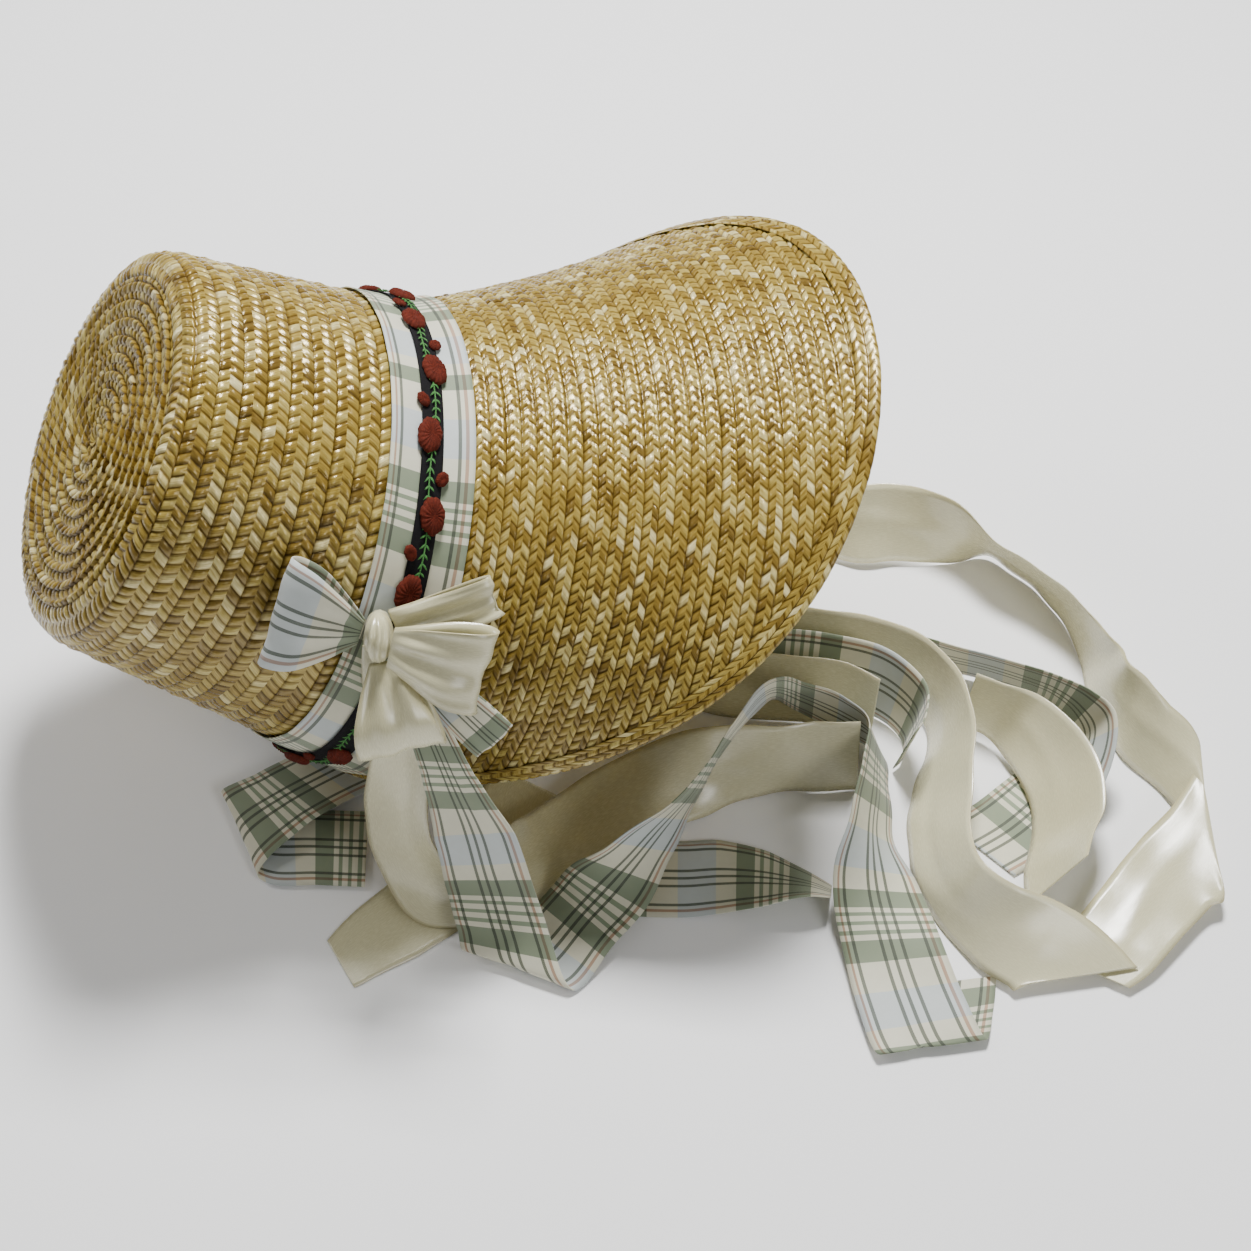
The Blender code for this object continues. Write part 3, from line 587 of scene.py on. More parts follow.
def plait(name, surface, start, pitch, rows, petals, node, lines=FINE_LINES, samples=6, side=1.0,
          base=STRAW_BASE, lap=LAP, puff=PUFF, limit=None, seed=0.0):
    """Rows of plait over a surface. limit cuts them at a length that depends on the angle."""
    row, v = row_lines(lines, rows)
    c = np.arange(petals * samples + 1)[None, :] / samples
    chance = np.random.default_rng(int(seed) + 11)
    phase = chance.uniform(-ROW_SHIFT, ROW_SHIFT, rows + 1)[row.astype(int)]
    angle = TWO_PI * (c - zigzag(v) + phase) / petals
    wander = ROW_WANDER * np.sin(3.0 * angle + 1.7 * row)
    w = start + pitch * (row + v) + wander * (v > 0.0) * (v < 0.9)
    if limit is not None:
        edge = limit(angle)
        inside = w < edge
        w = np.minimum(w, edge)
    height = base + petal_height(c, v, row, seed, lap, puff)
    point = surface(angle, w) + normals(surface, angle, w) * (side * height)[..., None]
    point = posed(point[:, :-1])
    quads = grid_quads(len(v), petals * samples, flip=side < 0.0)
    uv = petal_uv(c, c, row, v, side < 0.0)
    if limit is not None:
        keep = any_corner(inside)
        quads = quads[keep]
        uv = uv[keep]
    return add_mesh(name, point, quads, uv, "straw", node)


def spiral(name, edge, pitch, node, columns, lines=FINE_LINES, side=1.0):
    """A plait sewn in a spiral from the middle of the tip disc."""
    turns = int(math.ceil(edge / pitch)) + 1
    count = len(lines)
    row, v = row_lines(lines, turns)
    share = np.arange(columns + 1)[None, :] / columns
    r = pitch * (row + v + share - 1.0)
    inside = (r > 0.0) & (r < edge)
    arc = math.pi * pitch * (row + share) ** 2 / PETAL_LENGTH
    c = arc + zigzag(v)
    fade = np.clip(r / (pitch * TIP_FADE), 0.0, 1.0) * np.clip((edge - r) / TIP_EDGE_FADE, 0.0, 1.0)
    r = np.clip(r, TIP_MIDDLE, edge)
    angle = TWO_PI * share + np.zeros_like(r)
    height = STRAW_BASE + petal_height(c, v, row, 3.0, TIP_LAP, PUFF) * fade
    flat = normals(tip_point, angle, np.maximum(r, 0.002))
    point = posed(tip_point(angle, r) + flat * (side * height)[..., None])[:, :-1]
    # The last column meets the first one a turn further out
    last_line = len(v) - 1
    i = np.arange(last_line)[:, None]
    j = np.arange(columns)[None, :]
    last = j == columns - 1
    right = []
    for line in (i, i + 1):
        out = np.minimum(line + count, last_line) * columns
        right.append(np.where(last, out, line * columns + j + 1))
    quads = np.stack([i * columns + j, right[0], right[1], (i + 1) * columns + j], -1)
    if side < 0.0:
        quads = quads[..., ::-1]
    uv = petal_uv(c[:-1], np.where(v[1:] == 0.0, arc[:-1], c[1:]), row, v, side < 0.0)
    keep = any_corner(inside) & ~(last & (i + 1 + count > last_line))
    return add_mesh(name, point, quads[keep], uv[keep], "straw", node)


# Materials
def linear(*colour):
    """Scene colour of an 8-bit one."""
    share = [c / 255.0 for c in colour]
    curved = [c / 12.92 if c <= 0.04045 else ((c + 0.055) / 1.055) ** 2.4 for c in share]
    return (*curved, 1.0)


class Nodes:
    """Short names for building a node tree."""

    def __init__(self, name):
        self.material = bpy.data.materials.new(name)
        self.material.use_nodes = True
        self.tree = self.material.node_tree
        self.shader = self.tree.nodes["Principled BSDF"]
        self.coordinates = self.add("ShaderNodeTexCoord").outputs

    def add(self, kind, **values):
        node = self.tree.nodes.new(kind)
        for key, value in values.items():
            setattr(node, key, value)
        return node

    def link(self, source, target):
        self.tree.links.new(source, target)

    def put(self, socket, value):
        """Link a socket or set its value."""
        if isinstance(value, bpy.types.NodeSocket):
            self.link(value, socket)
        else:
            socket.default_value = value

    def fill(self, node, **values):
        """Inputs of a node by name, with _ for a space."""
        for key, value in values.items():
            self.put(node.inputs[key.replace("_", " ")], value)
        return node

    def set(self, **values):
        self.fill(self.shader, **values)

    def math(self, operation, first, second=0.0):
        node = self.add("ShaderNodeMath", operation=operation)
        self.put(node.inputs[0], first)
        self.put(node.inputs[1], second)
        return node.outputs[0]

    def times(self, first, second):
        return self.math("MULTIPLY", first, second)

    def mix(self, share, first, second, blend="MIX"):
        """Blend of two colours, which are the node's sockets 6 and 7."""
        node = self.add("ShaderNodeMix", data_type="RGBA", blend_type=blend)
        self.put(node.inputs["Factor"], share)
        self.put(node.inputs[6], first)
        self.put(node.inputs[7], second)
        return node.outputs[2]

    def ramp(self, value, stops, interpolation="LINEAR"):
        node = self.add("ShaderNodeValToRGB")
        band = node.color_ramp
        band.interpolation = interpolation
        while len(band.elements) < len(stops):
            band.elements.new(0.5)
        for element, (position, colour) in zip(band.elements, stops):
            element.position = position
            element.color = colour
        self.link(value, node.inputs[0])
        return node.outputs[0]

    def grain(self, scale, detail=2.0):
        """Noise in the object's own space."""
        return self.noise(self.coordinates["Object"], scale, detail)

    def noise(self, vector, scale, detail=2.0, dimensions="3D"):
        node = self.add("ShaderNodeTexNoise", noise_dimensions=dimensions)
        return self.fill(node, Vector=vector, Scale=scale, Detail=detail).outputs["Fac"]

    def uv(self):
        """The two UV coordinates."""
        split = self.add("ShaderNodeSeparateXYZ")
        self.link(self.coordinates["UV"], split.inputs[0])
        return split.outputs[0], split.outputs[1]

    def vector(self, x, y):
        node = self.add("ShaderNodeCombineXYZ")
        self.put(node.inputs[0], x)
        self.put(node.inputs[1], y)
        return node.outputs[0]

    def bands(self, vector, scale, distortion):
        """Slanting bands, as threads lie."""
        node = self.add("ShaderNodeTexWave", wave_type="BANDS", bands_direction="DIAGONAL")
        return self.fill(node, Vector=vector, Scale=scale, Distortion=distortion).outputs["Fac"]

    def bump(self, height, strength, distance):
        node = self.add("ShaderNodeBump")
        self.fill(node, Strength=strength, Distance=distance, Height=height)
        self.set(Normal=node.outputs[0])


WHITE = (1.0, 1.0, 1.0, 1.0)


def straw_material(name, gloss):
    """u counts petals along the plait and v half rows across it."""
    n = Nodes(name)
    u, v = n.uv()
    petal = n.vector(n.math("FLOOR", u), n.math("FLOOR", v))
    chance = n.add("ShaderNodeTexWhiteNoise", noise_dimensions="2D")
    n.link(petal, chance.inputs["Vector"])
    tone = n.ramp(
        chance.outputs["Value"],
        (
            (0.00, linear(96, 76, 30)),
            (0.10, linear(128, 106, 44)),
            (0.38, linear(152, 131, 60)),
            (0.68, linear(174, 155, 80)),
            (0.90, linear(198, 183, 110)),
            (1.00, linear(236, 227, 172)),
        ),
    )
    tone = n.mix(n.times(n.grain(22.0, 3.0), 0.35), tone, linear(150, 120, 48))
    streak = n.noise(n.vector(n.times(u, 9.0), n.times(v, 0.9)), 1.0, 3.0, "2D")
    streak_tone = n.ramp(streak, ((0.25, (0.62, 0.54, 0.40, 1.0)), (0.62, WHITE)))
    tone = n.mix(1.0, tone, streak_tone, "MULTIPLY")
    # Painted shade: the grooves between petals and the edges of a row, under and over the lap, are
    # darkened as if shaded
    edge = n.math("ABSOLUTE", n.math("SUBTRACT", n.times(n.math("FRACT", u), 2.0), 1.0))
    painted_groove_shade = n.ramp(edge, ((0.55, WHITE), (1.0, (0.20, 0.13, 0.06, 1.0))))
    tone = n.mix(0.9, tone, painted_groove_shade, "MULTIPLY")
    # Painted shade: the row is darkened where it runs under the lapping row and at its lapping edge
    row = n.math("FRACT", n.times(v, 0.5))
    under = (0.22, 0.15, 0.07, 1.0)
    over = (0.4, 0.3, 0.16, 1.0)
    lap = n.ramp(row, ((0.0, under), (0.13, WHITE), (0.94, WHITE), (1.0, over)))
    tone = n.mix(0.8, tone, lap, "MULTIPLY")
    # The painted groove and lap shade also dims the specular there, as if those places were shaded
    shade_dimmed_gloss = n.times(n.mix(1.0, painted_groove_shade, lap, "MULTIPLY"), gloss)
    n.set(
        Base_Color=tone,
        Roughness=n.math("ADD", n.times(streak, 0.18), 0.14),
        Specular_IOR_Level=shade_dimmed_gloss,
        Specular_Tint=(1.0, 0.85, 0.50, 1.0),
    )
    n.bump(streak, 0.35, 0.0002)
    return n.material


SAGE = linear(122, 134, 108)
CREAM = linear(214, 211, 188)
BLUE_WHITE = linear(192, 199, 198)
DARK_GREEN = linear(52, 70, 48)
TAN = linear(196, 150, 130)
STRIPE = linear(128, 142, 114)


def plaid_material():
    """u runs across the ribbon, v along it in repeats of the check."""
    n = Nodes("plaid_ribbon")
    u, v = n.uv()
    across = n.ramp(
        u,
        (
            (0.00, WHITE), (0.045, TAN), (0.07, WHITE), (0.105, DARK_GREEN), (0.14, WHITE),
            (0.38, DARK_GREEN), (0.415, WHITE), (0.48, DARK_GREEN), (0.515, WHITE),
            (0.585, DARK_GREEN), (0.62, WHITE), (0.825, DARK_GREEN), (0.86, WHITE), (0.90, TAN),
            (0.935, WHITE),
        ),
        "CONSTANT",
    )
    along = n.ramp(
        n.math("FRACT", v),
        (
            (0.00, SAGE), (0.105, CREAM), (0.29, BLUE_WHITE), (0.52, CREAM), (0.645, SAGE),
            (0.76, CREAM), (0.79, STRIPE), (0.815, CREAM), (0.85, STRIPE), (0.875, CREAM),
            (0.91, STRIPE), (0.935, CREAM), (0.97, SAGE),
        ),
        "CONSTANT",
    )
    thread = n.bands(n.vector(n.times(u, 60.0), n.times(v, 110.0)), 0.8, 0.6)
    share = n.math("ADD", n.times(thread, 0.25), 0.72)
    tone = n.mix(share, along, across, "MULTIPLY")
    tone = n.mix(n.times(n.grain(260.0), 0.18), tone, linear(150, 150, 128))
    n.set(Base_Color=tone, Roughness=0.62, Sheen_Weight=0.25)
    n.bump(thread, 0.25, 0.0002)
    return n.material


def satin_material():
    """u runs across the ribbon, with a denser edge, v along it."""
    n = Nodes("ivory_satin")
    u, v = n.uv()
    tone = n.ramp(n.grain(9.0), ((0.3, linear(196, 190, 150)), (0.7, linear(216, 211, 176))))
    rib = n.noise(n.vector(n.times(u, 150.0), n.times(v, 22.0)), 1.0, 1.0, "2D")
    edge = n.math("ABSOLUTE", n.math("SUBTRACT", u, 0.5))
    selvedge = n.ramp(edge, ((0.46, WHITE), (0.49, (0.86, 0.82, 0.72, 1.0))))
    n.set(
        Base_Color=n.mix(0.8, tone, selvedge, "MULTIPLY"),
        Roughness=n.math("ADD", n.times(rib, 0.12), 0.21),
        Sheen_Weight=0.15,
        Specular_IOR_Level=1.0,
        Coat_Weight=0.12,
        Coat_Roughness=0.28,
        Anisotropic=0.5,
    )
    n.bump(rib, 0.12, 0.0002)
    return n.material


def thread_material(name, dark, light, scale, rough):
    """Embroidery thread or woven ground: fine bands between two colours."""
    n = Nodes(name)
    wave = n.bands(n.vector(*n.uv()), scale, 2.0)
    share = n.math("ADD", n.times(wave, 0.5), n.times(n.grain(900.0), 0.5))
    tone = n.ramp(share, ((0.25, dark), (0.80, light)))
    n.set(Base_Color=tone, Roughness=rough, Specular_IOR_Level=0.2)
    n.bump(share, 0.4, 0.0003)
    return n.material


MATERIALS = {
    "straw": straw_material("straw_plait", STRAW_GLOSS),
    "plaid": plaid_material(),
    "satin": satin_material(),
    "trim": thread_material("trim_ground", linear(8, 8, 10), linear(30, 28, 30), 90.0, 0.9),
    "flower": thread_material("flower_thread", linear(46, 12, 6), linear(112, 40, 22), 6.0, 0.85),
}
TIP_STRAW = straw_material("straw_plait_tip", TIP_GLOSS)
VINE = thread_material("vine_thread", linear(34, 86, 36), linear(96, 150, 84), 20.0, 0.75)


# Straw pieces
CROWN_ROWS = 12
CROWN_PETALS = 112
CROWN_PITCH = CROWN_ARC / CROWN_ROWS
TIP_PITCH = 0.0075
TIP_DISC = TIP_RADIUS - TIP_EDGE
TIP_COLUMNS = 560
TIP_COARSE_COLUMNS = 220
BRIM_PITCH = 0.0062
# Brim bands: first row, rows, petals round
BRIM_BANDS = ((0, 9, 138), (9, 9, 166), (18, 10, 194))
RIM_TUCK = 0.0010
RIM_ROWS = 4
RIM_PETALS = 210
RIM_WRAP = 2.0 * (RIM_BRAID_WIDTH - RIM_BRAID_WALL / 2.0) + math.pi * RIM_BRAID_WALL / 2.0


def brim_limit(angle):
    return brim_length(angle) - RIM_BRAID_WIDTH + RIM_TUCK


plait("straw_crown_side", side_point, 0.0, CROWN_PITCH, CROWN_ROWS, CROWN_PETALS, "crown")
tip = spiral("straw_crown_tip", TIP_DISC, TIP_PITCH, "crown", TIP_COLUMNS)
tip.data.materials[0] = TIP_STRAW
plait("straw_crown_inside", side_point, 0.0, CROWN_PITCH, CROWN_ROWS, CROWN_PETALS, "crown",
      lines=COARSE_LINES, samples=3, side=-1.0)
spiral("straw_crown_tip_inside", TIP_DISC, TIP_PITCH, "crown", TIP_COARSE_COLUMNS,
       lines=COARSE_LINES, side=-1.0)
for number, (first, rows, petals) in enumerate(BRIM_BANDS):
    place = (brim_point, BRIM_PITCH * first, BRIM_PITCH, rows, petals, "brim")
    plait("straw_brim_%d" % (number + 1), *place, lines=BRIM_LINES, samples=5,
          limit=brim_limit, seed=20.0 + number)
    plait("straw_brim_inside_%d" % (number + 1), *place, lines=BRIM_COARSE_LINES, samples=3,
          side=-1.0, limit=brim_limit, seed=30.0 + number)
plait("straw_rim_braid", rim_point, 0.0, RIM_WRAP / RIM_ROWS, RIM_ROWS, RIM_PETALS, "rim_braid",
      base=0.0, lap=RIM_LAP, puff=RIM_PUFF, seed=40.0)


# Hatband and trim
CHECK_REPEAT = 0.073
TRIM_REPEAT = 0.02
CLOTH_WALL = 0.0005
BAND_STEPS = 720
BAND_RIPPLE = 0.00022


def band_front(angle):
    return np.minimum(HATBAND_FRONT, brim_length(angle) - RIM_BRAID_WIDTH - 3.0 * CLEARANCE)


def band_middle(angle):
    return (band_front(angle) - HATBAND_BACK) / 2.0


def band_edges(angle):
    return -HATBAND_BACK, band_front(angle)


def trim_edges(angle):
    return band_middle(angle) - TRIM_WIDTH / 2.0, band_middle(angle) + TRIM_WIDTH / 2.0


def round_band(name, edges, height, wall, cloth, node, across, ripple, repeat):
    """A closed ribbon round the seam with a wall, rippled a little."""
    share = np.linspace(0.0, 1.0, across)[:, None]
    angle = TWO_PI * np.arange(BAND_STEPS)[None, :] / BAND_STEPS
    back, front = edges(angle)
    s = back + (front - back) * share
    wave = ripple * np.sin(9.0 * angle + 4.0 * share) * np.sin(math.pi * share)
    wave += 0.5 * ripple * np.sin(23.0 * angle + 1.0) * (2.0 * share - 1.0) ** 2
    base = seam_point(angle, s)
    out = normals(seam_point, angle, s)
    outer, inner = (
        posed(base + out * (height + wave + side * wall / 2.0)[..., None]) for side in (1.0, -1.0)
    )
    points = np.concatenate([outer, inner[::-1]])
    tall = np.concatenate([share, share[::-1]])
    turn = np.arange(BAND_STEPS + 1)[None, :] / BAND_STEPS * TWO_PI * SEAM_RADIUS / repeat
    turn = turn * np.ones_like(tall)
    low = np.stack([tall * np.ones_like(turn), turn], -1)
    high = np.roll(low, -1, axis=0)
    quads = grid_quads(2 * across, BAND_STEPS, wrap_rows=True)
    return add_mesh(name, points, quads, grid_uv(low, high), cloth, node)


band = round_band("hatband_ribbon", band_edges, BAND_HEIGHT, CLOTH_WALL, "plaid", "hatband", 24,
                  BAND_RIPPLE, CHECK_REPEAT)
trim = round_band("trim_ribbon", trim_edges, TRIM_HEIGHT, TRIM_WALL / 2.0, "trim",
                  "embroidered_trim", 8, 0.0, TRIM_REPEAT)


# Flowers, buds, vine and leaves
PAD_RINGS = 15
PAD_STEPS = 72
PAD_RIDGES = 18.0
PAD_DIMPLE = 0.22
FLOWER_TURN = 0.12
BUD_LENGTH = 0.0068
BUD_WIDTH = 0.0052
BUD_HEIGHT = 0.0018
BUD_OFFSET = 0.0052
BUD_TURN = 0.5
BUD_PLACE = 0.52
VINE_SWAY = 0.0012
VINE_HEIGHT = TRIM_HEIGHT + TRIM_WALL / 2.0 + CLEARANCE
STEM_STEPS = 480
STEM_SIDES = 6
STEM_RADIUS = 0.00035
LEAF_PAIRS = 170
LEAF_LEAN = (0.5, 0.9)
LEAF_LENGTH = (0.0026, 0.0036)
LEAF_HALF = 0.0008
LEAF_RIDGE = 0.0002
# Leaf sections: share of the length, share of the half width, height
LEAF_SHAPE = ((0.0, 0.15, 0.0), (0.35, 0.55, 0.0005), (0.7, 0.45, 0.0006), (1.0, 0.06, 0.0002))


def trim_place(angle, offset, height):
    """Frame on the trim: origin, along, across and out, in the part's frame."""
    s = one(offset) + band_middle(one(angle))
    normal = normals(seam_point, one(angle), s)
    point = posed(seam_point(one(angle), s) + normal * height)[0]
    before, after = (posed(seam_point(one(angle + turn), s))[0] for turn in (-0.01, 0.01))
    ahead = after - before
    out = POSE[:3, :3] @ normal[0]
    ahead = ahead / np.linalg.norm(ahead)
    across = np.cross(out, ahead)
    return point, ahead, across / np.linalg.norm(across), out


def stitched_pad(name, angle, offset, length, width, height, turn, nodes=()):
    """An oval of satin stitches: a dome with radial ridges and a ragged edge."""
    origin, ahead, across, out = trim_place(angle, offset, FLOWER_BASE)
    ring = np.linspace(0.0, 1.0, PAD_RINGS)[:, None]
    around = TWO_PI * np.arange(PAD_STEPS)[None, :] / PAD_STEPS
    ridge = np.cos(PAD_RIDGES * around + 5.0 * ring)
    edge = 1.0 + 0.035 * np.cos(7.0 * around + turn) + 0.02 * ridge
    reach = np.sin(ring * math.pi / 2.0) * edge
    x = reach * length / 2.0 * np.cos(around)
    y = reach * width / 2.0 * np.sin(around)
    dome = np.cos(ring * math.pi / 2.0) ** 0.8
    z = dome * height * (1.0 + 0.09 * ridge * np.sin(ring * math.pi))
    z -= PAD_DIMPLE * height * np.exp(-((ring / 0.28) ** 2))
    far = x * math.cos(turn) - y * math.sin(turn)
    wide = x * math.sin(turn) + y * math.cos(turn)
    points = origin + far[..., None] * ahead + wide[..., None] * across + z[..., None] * out
    u = np.arange(PAD_STEPS + 1)[None, :] / 4.0 * np.ones_like(ring)
    grid = np.stack([u, ring * 1.5 + np.zeros_like(u)], -1)
    quads = grid_quads(PAD_RINGS, PAD_STEPS, flip=True)
    uv = grid_uv(grid[:-1], grid[1:], flip=True)
    pad = add_mesh(name, points, quads, uv, "flower", *nodes)


def under_bow(angle):
    """Whether the bow and its ties cover this place on the trim."""
    return -BOW_COVER < (angle - BOW_ANGLE) / FLOWER_PITCH < TIES_COVER


flower_count = int(round(TWO_PI / FLOWER_PITCH))
flowers = []
for i in range(flower_count):
    angle = (i + FLOWER_START) * TWO_PI / flower_count
    if not under_bow(angle):
        flowers.append((i + 1, angle, 1.0 if i % 2 else -1.0))
for number, angle, side in flowers:
    stitched_pad("stitched_flower_%02d" % number, angle, side * FLOWER_OFFSET, FLOWER_LENGTH,
                 FLOWER_WIDTH, FLOWER_HEIGHT, FLOWER_TURN * side, ["trim_flower_%02d" % number])
for number, angle, side in flowers:
    between = angle + FLOWER_PITCH * BUD_PLACE
    if not under_bow(between):
        stitched_pad("stitched_bud_%02d" % number, between, -side * BUD_OFFSET, BUD_LENGTH,
                     BUD_WIDTH, BUD_HEIGHT, BUD_TURN * side)


def vine_place(angle):
    """Frame on the vine's stem, which sways from one flower to the next."""
    return trim_place(angle, VINE_SWAY * math.sin(flower_count * angle / 2.0), VINE_HEIGHT)


def vine():
    """A green stem that winds along the trim, with small pointed leaves in pairs."""
    points = []
    ring_angle = TWO_PI * np.arange(STEM_SIDES) / STEM_SIDES
    for k in range(STEM_STEPS):
        origin, ahead, across, out = vine_place(TWO_PI * k / STEM_STEPS)
        for t in ring_angle:
            points.append(origin + STEM_RADIUS * (math.cos(t) * across + math.sin(t) * out))
    v = np.arange(STEM_STEPS + 1)[:, None] * 0.2 + np.zeros((1, STEM_SIDES + 1))
    u = np.arange(STEM_SIDES + 1)[None, :] * 0.3 + np.zeros((STEM_STEPS + 1, 1))
    grid = np.stack([u, v], -1)
    quads = [grid_quads(STEM_STEPS, STEM_SIDES, wrap_rows=True).reshape(-1, 4)]
    uv = [grid_uv(grid[:-1], grid[1:]).reshape(-1, 4, 2)]
    chance = np.random.default_rng(5)
    leaf_quads = grid_quads(len(LEAF_SHAPE), 3, wrap_cols=False).reshape(-1, 4)
    leaf_grid = np.stack(np.meshgrid(np.arange(3.0), np.arange(float(len(LEAF_SHAPE)))), -1)
    leaf_uv = grid_uv(leaf_grid[:-1], leaf_grid[1:]).reshape(-1, 4, 2)
    for k in range(LEAF_PAIRS):
        for hand in (-1.0, 1.0):
            origin, ahead, across, out = vine_place(TWO_PI * k / LEAF_PAIRS)
            lean = chance.uniform(*LEAF_LEAN)
            way = ahead * math.cos(lean) + across * hand * math.sin(lean)
            wide = np.cross(out, way) * LEAF_HALF
            length = chance.uniform(*LEAF_LENGTH)
            quads.append(leaf_quads + len(points))
            uv.append(leaf_uv)
            for far, broad, lift in LEAF_SHAPE:
                middle = origin + way * length * far + out * lift
                points += [middle - wide * broad, middle + out * LEAF_RIDGE, middle + wide * broad]
    obj = add_mesh("embroidered_vine", np.array(points), np.concatenate(quads), np.concatenate(uv),
                   "trim")
    obj.data.materials[0] = VINE


vine()


# Bow and ties
RIBBON_STEPS = 14
RIBBON_ACROSS = 13
LOOP_STEPS = 10
# Ripples: fade at the ends, waves in radians a metre, width of the crease
RIPPLE_FADE = 0.02
LONG_WAVE = 95.0
SHORT_WAVE = 173.0
EDGE_WAVE = 240.0
CREASE_PATH = 21.0
CREASE_WAVE = 33.0
CREASE_WIDTH = 0.16
FOLD_WAVE = 70.0
SATIN_PLEAT = 0.0021
PLAID_PLEAT = 0.0010
KNOT_LINES = 41
KNOT_STEPS = 64
KNOT_PLEAT = 0.10
KNOT_PLEATS = 9.0
FLOOR_HEIGHT = CLOTH_WALL / 2.0 + TABLE_GAP


def curve(p0, p1, p2, p3, t):
    """Smooth curve through p1 and p2."""
    square = (2.0 * p0 - 5.0 * p1 + 4.0 * p2 - p3) * t * t
    cube = (3.0 * p1 - p0 - 3.0 * p2 + p3) * t * t * t
    return 0.5 * (2.0 * p1 + (p2 - p0) * t + square + cube)


def course(rows, steps):
    """Smooth course through rows of numbers: span, share of the span and numbers, step by step."""
    rows = np.array(rows)
    spans = len(rows) - 1
    for span in range(spans):
        near = [rows[max(0, min(spans, i))] for i in range(span - 1, span + 3)]
        for k in range(steps + (span == spans - 1)):
            yield span, k / steps, curve(*near, k / steps)


def knot_reach(direction, height):
    """Distance from the knot's middle to just clear of its side, at a height along its normal."""
    round_share = math.sqrt(max(1.0 - (2.0 * height / KNOT_DEPTH) ** 2, 0.0))
    side = math.hypot(math.cos(direction) * KNOT_WIDTH, math.sin(direction) * KNOT_LENGTH) / 2.0
    return side * round_share + 2.0 * CLEARANCE


def tie_root(height, side, share):
    """First station of a tie that leaves the knot downward, under the loops."""
    drop = bow_up * knot_reach(math.radians(90.0), height)
    start = knot_middle + knot_normal * height - drop + bow_right * side
    return (start.x, start.y, start.z, 0.0, 0.0, share)


def cloth_grid(node, middle, half, cloth, waves, lies=True):
    """A ribbon from its middle line and half widths. waves gives the ripple's height over it."""
    share = np.linspace(-1.0, 1.0, RIBBON_ACROSS)[None, :]
    points = middle[:, None] + half[:, None] * share[..., None]
    out = np.cross(np.gradient(middle, axis=0), half)
    out = out / np.maximum(np.linalg.norm(out, axis=-1, keepdims=True), 1e-12)
    steps = np.linalg.norm(np.diff(middle, axis=0), axis=1)
    length = np.concatenate([[0.0], np.cumsum(steps)])[:, None]
    points = points + out[:, None] * waves(length, share)[..., None]
    if lies:
        points[..., 2] = np.maximum(points[..., 2], FLOOR_HEIGHT)
    points = points + np.array(SHIFT)
    grid = np.stack([(share + 1.0) / 2.0 + 0.0 * length, length / CHECK_REPEAT + 0.0 * share], -1)
    quads = grid_quads(len(middle), RIBBON_ACROSS, wrap_cols=False)
    obj = add_mesh(node + "_ribbon", points, quads, grid_uv(grid[:-1], grid[1:]), cloth, node)
    wall = obj.modifiers.new("cloth", "SOLIDIFY")
    wall.thickness = CLOTH_WALL
    wall.offset = 0.0


def ribbon(node, rows, cloth, ripple, seed):
    """A ribbon through its stations, with soft ripples that fade toward its ends."""
    stations = []
    for x, y, z, turn, rise, share in rows:
        turn = math.radians(turn)
        rise = math.radians(rise)
        flat = math.cos(rise)
        stations.append((x, y, z, math.cos(turn) * flat, math.sin(turn) * flat, math.sin(rise)))
    shares = [row[-1] for row in rows]
    middle = []
    half = []
    for span, t, numbers in course(stations, RIBBON_STEPS):
        wide = numbers[3:]
        share = shares[span] + (shares[span + 1] - shares[span]) * t
        middle.append(numbers[:3])
        half.append(wide / np.linalg.norm(wide) * RIBBON_WIDTH * share / 2.0)
    phase = np.random.default_rng(seed).uniform(0.0, TWO_PI, 5)

    def waves(length, share):
        start = np.clip(length / RIPPLE_FADE, 0.0, 1.0)
        end = np.clip((length.max() - length) / RIPPLE_FADE, 0.0, 1.0)
        long = np.sin(length * LONG_WAVE + phase[0] + 0.8 * share)
        long = long + 0.6 * np.sin(length * SHORT_WAVE + phase[1] - 1.4 * share)
        edge = share**2 * np.sin(length * EDGE_WAVE + phase[2] + 2.0 * share)
        crease = (share - 0.35 * np.sin(length * CREASE_PATH + phase[3])) / CREASE_WIDTH
        crease = np.exp(-(crease**2)) * np.sin(length * CREASE_WAVE + phase[4])
        return ripple * start * end * (0.55 * long + 0.35 * edge + 0.9 * crease)

    cloth_grid(node, np.array(middle), np.array(half), cloth, waves)


for seed, (name, rows, cloth, ripple, held, rests_on) in enumerate(RIBBONS):
    if name in TIE_ROOTS:
        rows = (tie_root(*TIE_ROOTS[name]),) + rows
    ribbon(name, rows, cloth, ripple, seed)


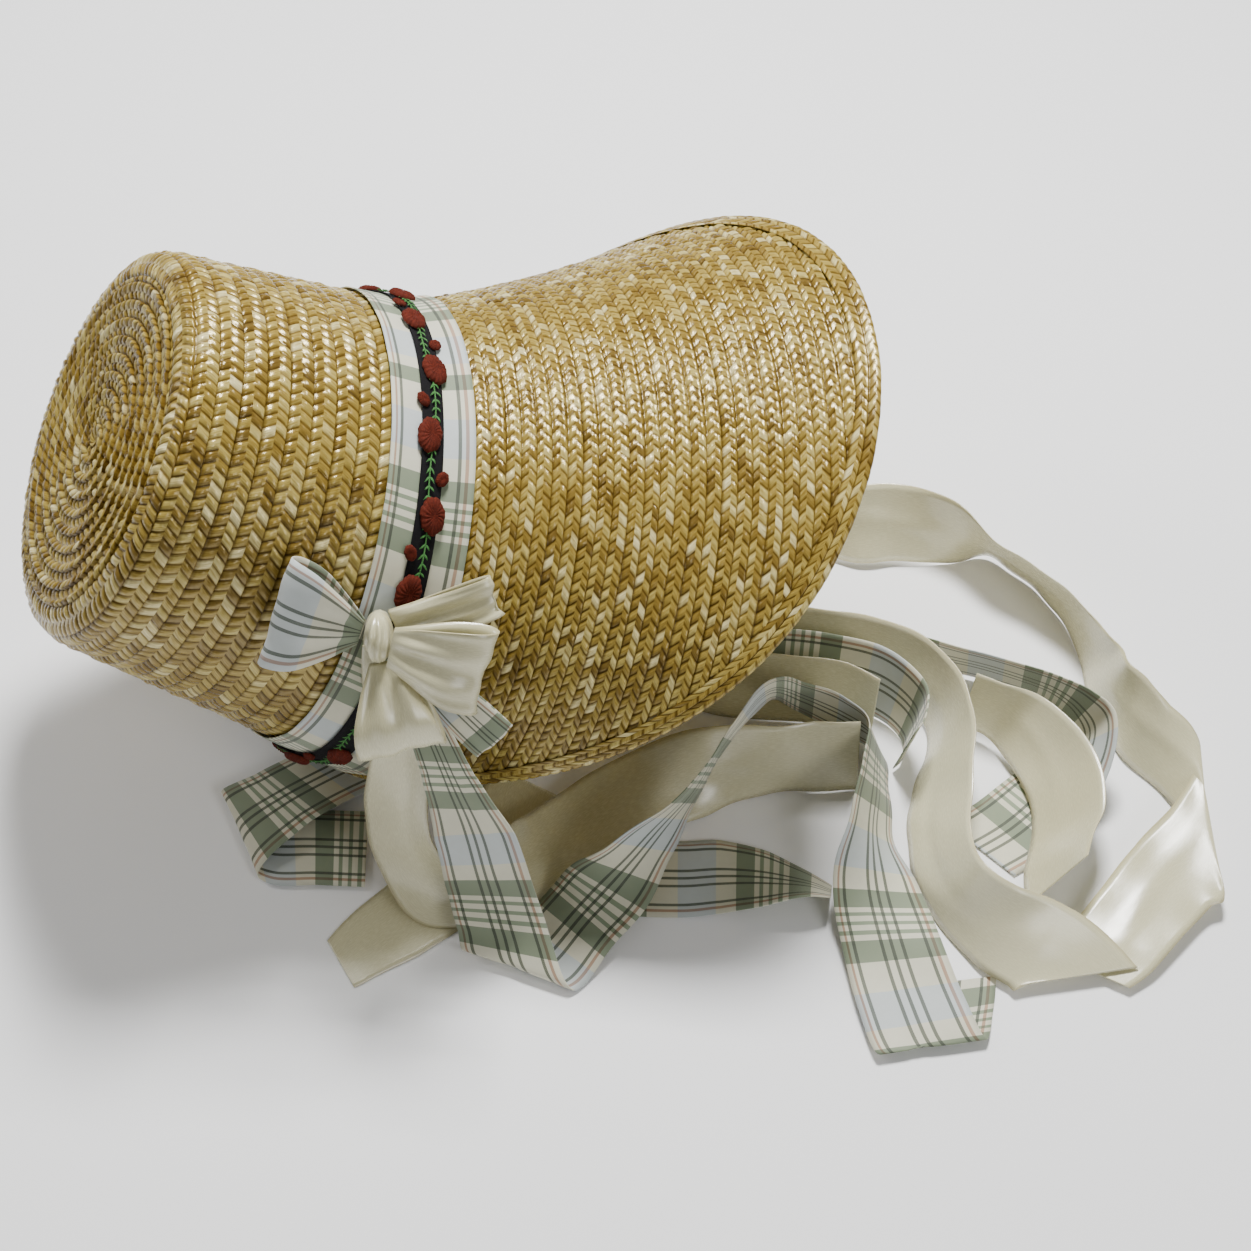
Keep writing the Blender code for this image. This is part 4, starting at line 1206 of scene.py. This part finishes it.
def bow_loop(name, direction, length, waist, end_share, bulge, root, dip, cloth):
    """A ribbon loop that leaves the knot, widens, turns and comes back underneath."""
    a = math.radians(direction)
    out = np.array(bow_right * math.cos(a) + bow_up * math.sin(a))
    wide = np.array(bow_up * math.cos(a) - bow_right * math.sin(a))
    lower = root - bulge * LOOP_UNDER
    nearest = 0.0 if lower < 0.0 < root else min(abs(lower), abs(root))
    reach = knot_reach(a, nearest)
    middle = []
    half = []
    fars = []
    for span, t, (far, high, broad) in course(LOOP_COURSE, LOOP_STEPS):
        share = waist + (end_share - waist) * broad
        rise = root + bulge * high - dip * far * far
        fars.append(far)
        middle.append(
            np.array(knot_middle) + out * (reach + length * far) + np.array(knot_normal) * rise
        )
        half.append(wide * RIBBON_WIDTH * share / 2.0)
    fars = np.array(fars)[:, None]
    away = np.clip(fars, 0.0, 1.0)
    phase = np.random.default_rng(abs(int(direction)) + 3).uniform(0.0, TWO_PI, 3)
    pleat = SATIN_PLEAT if cloth == "satin" else PLAID_PLEAT

    def waves(along, share):
        gathers = np.cos((2.2 + 0.5 * fars) * math.pi * share + phase[0]) * (1.0 - 0.80 * away)
        folds = 0.6 * np.sin(2.6 * share + along * FOLD_WAVE + phase[1]) * away
        return pleat * (gathers + folds) * np.clip(fars / 0.25, 0.0, 1.0)

    cloth_grid(name, np.array(middle), np.array(half), cloth, waves,
               lies=False)


for row in BOW_LOOPS:
    bow_loop(*row, "plaid" if "plaid" in row[0] else "satin")


def knot_wrap():
    """The knot: satin wound round the loops, gathered in pleats that run along the bow's up."""
    stack = np.linspace(0.0, 1.0, KNOT_LINES)[:, None]
    around = TWO_PI * np.arange(KNOT_STEPS)[None, :] / KNOT_STEPS
    tall = np.cos(stack * math.pi)
    ring = np.sin(stack * math.pi) ** 0.8
    wave = np.cos(KNOT_PLEATS * around + 1.2 * np.sin(3.0 * tall)) * ring
    reach = ring * (1.0 - KNOT_PLEAT + KNOT_PLEAT * wave)
    x = reach * KNOT_WIDTH / 2.0 * np.cos(around)
    z = reach * KNOT_DEPTH / 2.0 * np.sin(around)
    y = tall * KNOT_LENGTH / 2.0 + np.zeros_like(x)
    points = np.array(knot_middle + SHIFT) + sum(
        way[..., None] * np.array(axis)
        for way, axis in ((x, bow_right), (y, bow_up), (z, knot_normal))
    )
    u = np.arange(KNOT_STEPS + 1)[None, :] / KNOT_STEPS * np.ones_like(stack)
    grid = np.stack([u, stack * 0.3 + np.zeros_like(u)], -1)
    quads = grid_quads(KNOT_LINES, KNOT_STEPS)
    uv = grid_uv(grid[:-1], grid[1:])
    obj = add_mesh("satin_knot", points, quads, uv, "satin", "bow_knot")


knot_wrap()


# Floor, light and camera
FLOOR_REACH = 4.0
floor_mesh = bpy.data.meshes.new("floor")
corners = [(x * FLOOR_REACH, y * FLOOR_REACH, 0.0) for x, y in ((-1, -1), (1, -1), (1, 1), (-1, 1))]
floor_mesh.from_pydata(corners, [], [(0, 1, 2, 3)])
floor = put_in("floor", floor_mesh)
paper = Nodes("floor_paper")
tones = ((0.3, (0.95, 0.95, 0.95, 1.0)), (0.7, (0.97, 0.97, 0.97, 1.0)))
paper.set(Base_Color=paper.ramp(paper.grain(3.0), tones), Roughness=0.8)
floor_mesh.materials.append(paper.material)


LIGHT_AIM = Vector((0.0, 0.0, 0.10))
WORLD_LIGHT = 0.22


def softbox(name, place, size, power):
    """Square area light that looks at the bonnet."""
    light = bpy.data.lights.new(name, "AREA")
    light.shape = "SQUARE"
    light.size = size
    light.energy = power
    obj = put_in(name, light)
    obj.location = place
    obj.rotation_euler = (LIGHT_AIM - Vector(place)).to_track_quat("-Z", "Y").to_euler()


softbox("key_light", (0.1, 0.6, 1.4), 0.35, 42.0)
softbox("side_light", (-1.2, 0.3, 1.0), 0.4, 5.5)
softbox("front_light", (0.9, -1.2, 1.0), 0.6, 7.0)
world = bpy.data.worlds.new("studio")
world.use_nodes = True
sky = world.node_tree.nodes["Background"]
sky.inputs["Color"].default_value = WHITE
sky.inputs["Strength"].default_value = WORLD_LIGHT
bpy.context.scene.world = world

CAMERA_FROM_SEAM = Vector((0.11644567, -0.6767732, 0.74285788))
CAMERA_TILT = math.radians(40.0)
SENSOR_WIDTH = 36.0
FOCAL_PIXELS = 2300.0
PHOTO_PIXELS = 1251.0
camera_data = bpy.data.cameras.new("camera")
camera_data.sensor_width = SENSOR_WIDTH
camera_data.lens = FOCAL_PIXELS / PHOTO_PIXELS * SENSOR_WIDTH
camera = put_in("camera", camera_data)
camera.location = Vector(POSE[:3, 3]) + CAMERA_FROM_SEAM
camera.rotation_euler = (CAMERA_TILT, 0.0, 0.0)
bpy.context.scene.camera = camera

bpy.context.view_layer.update()
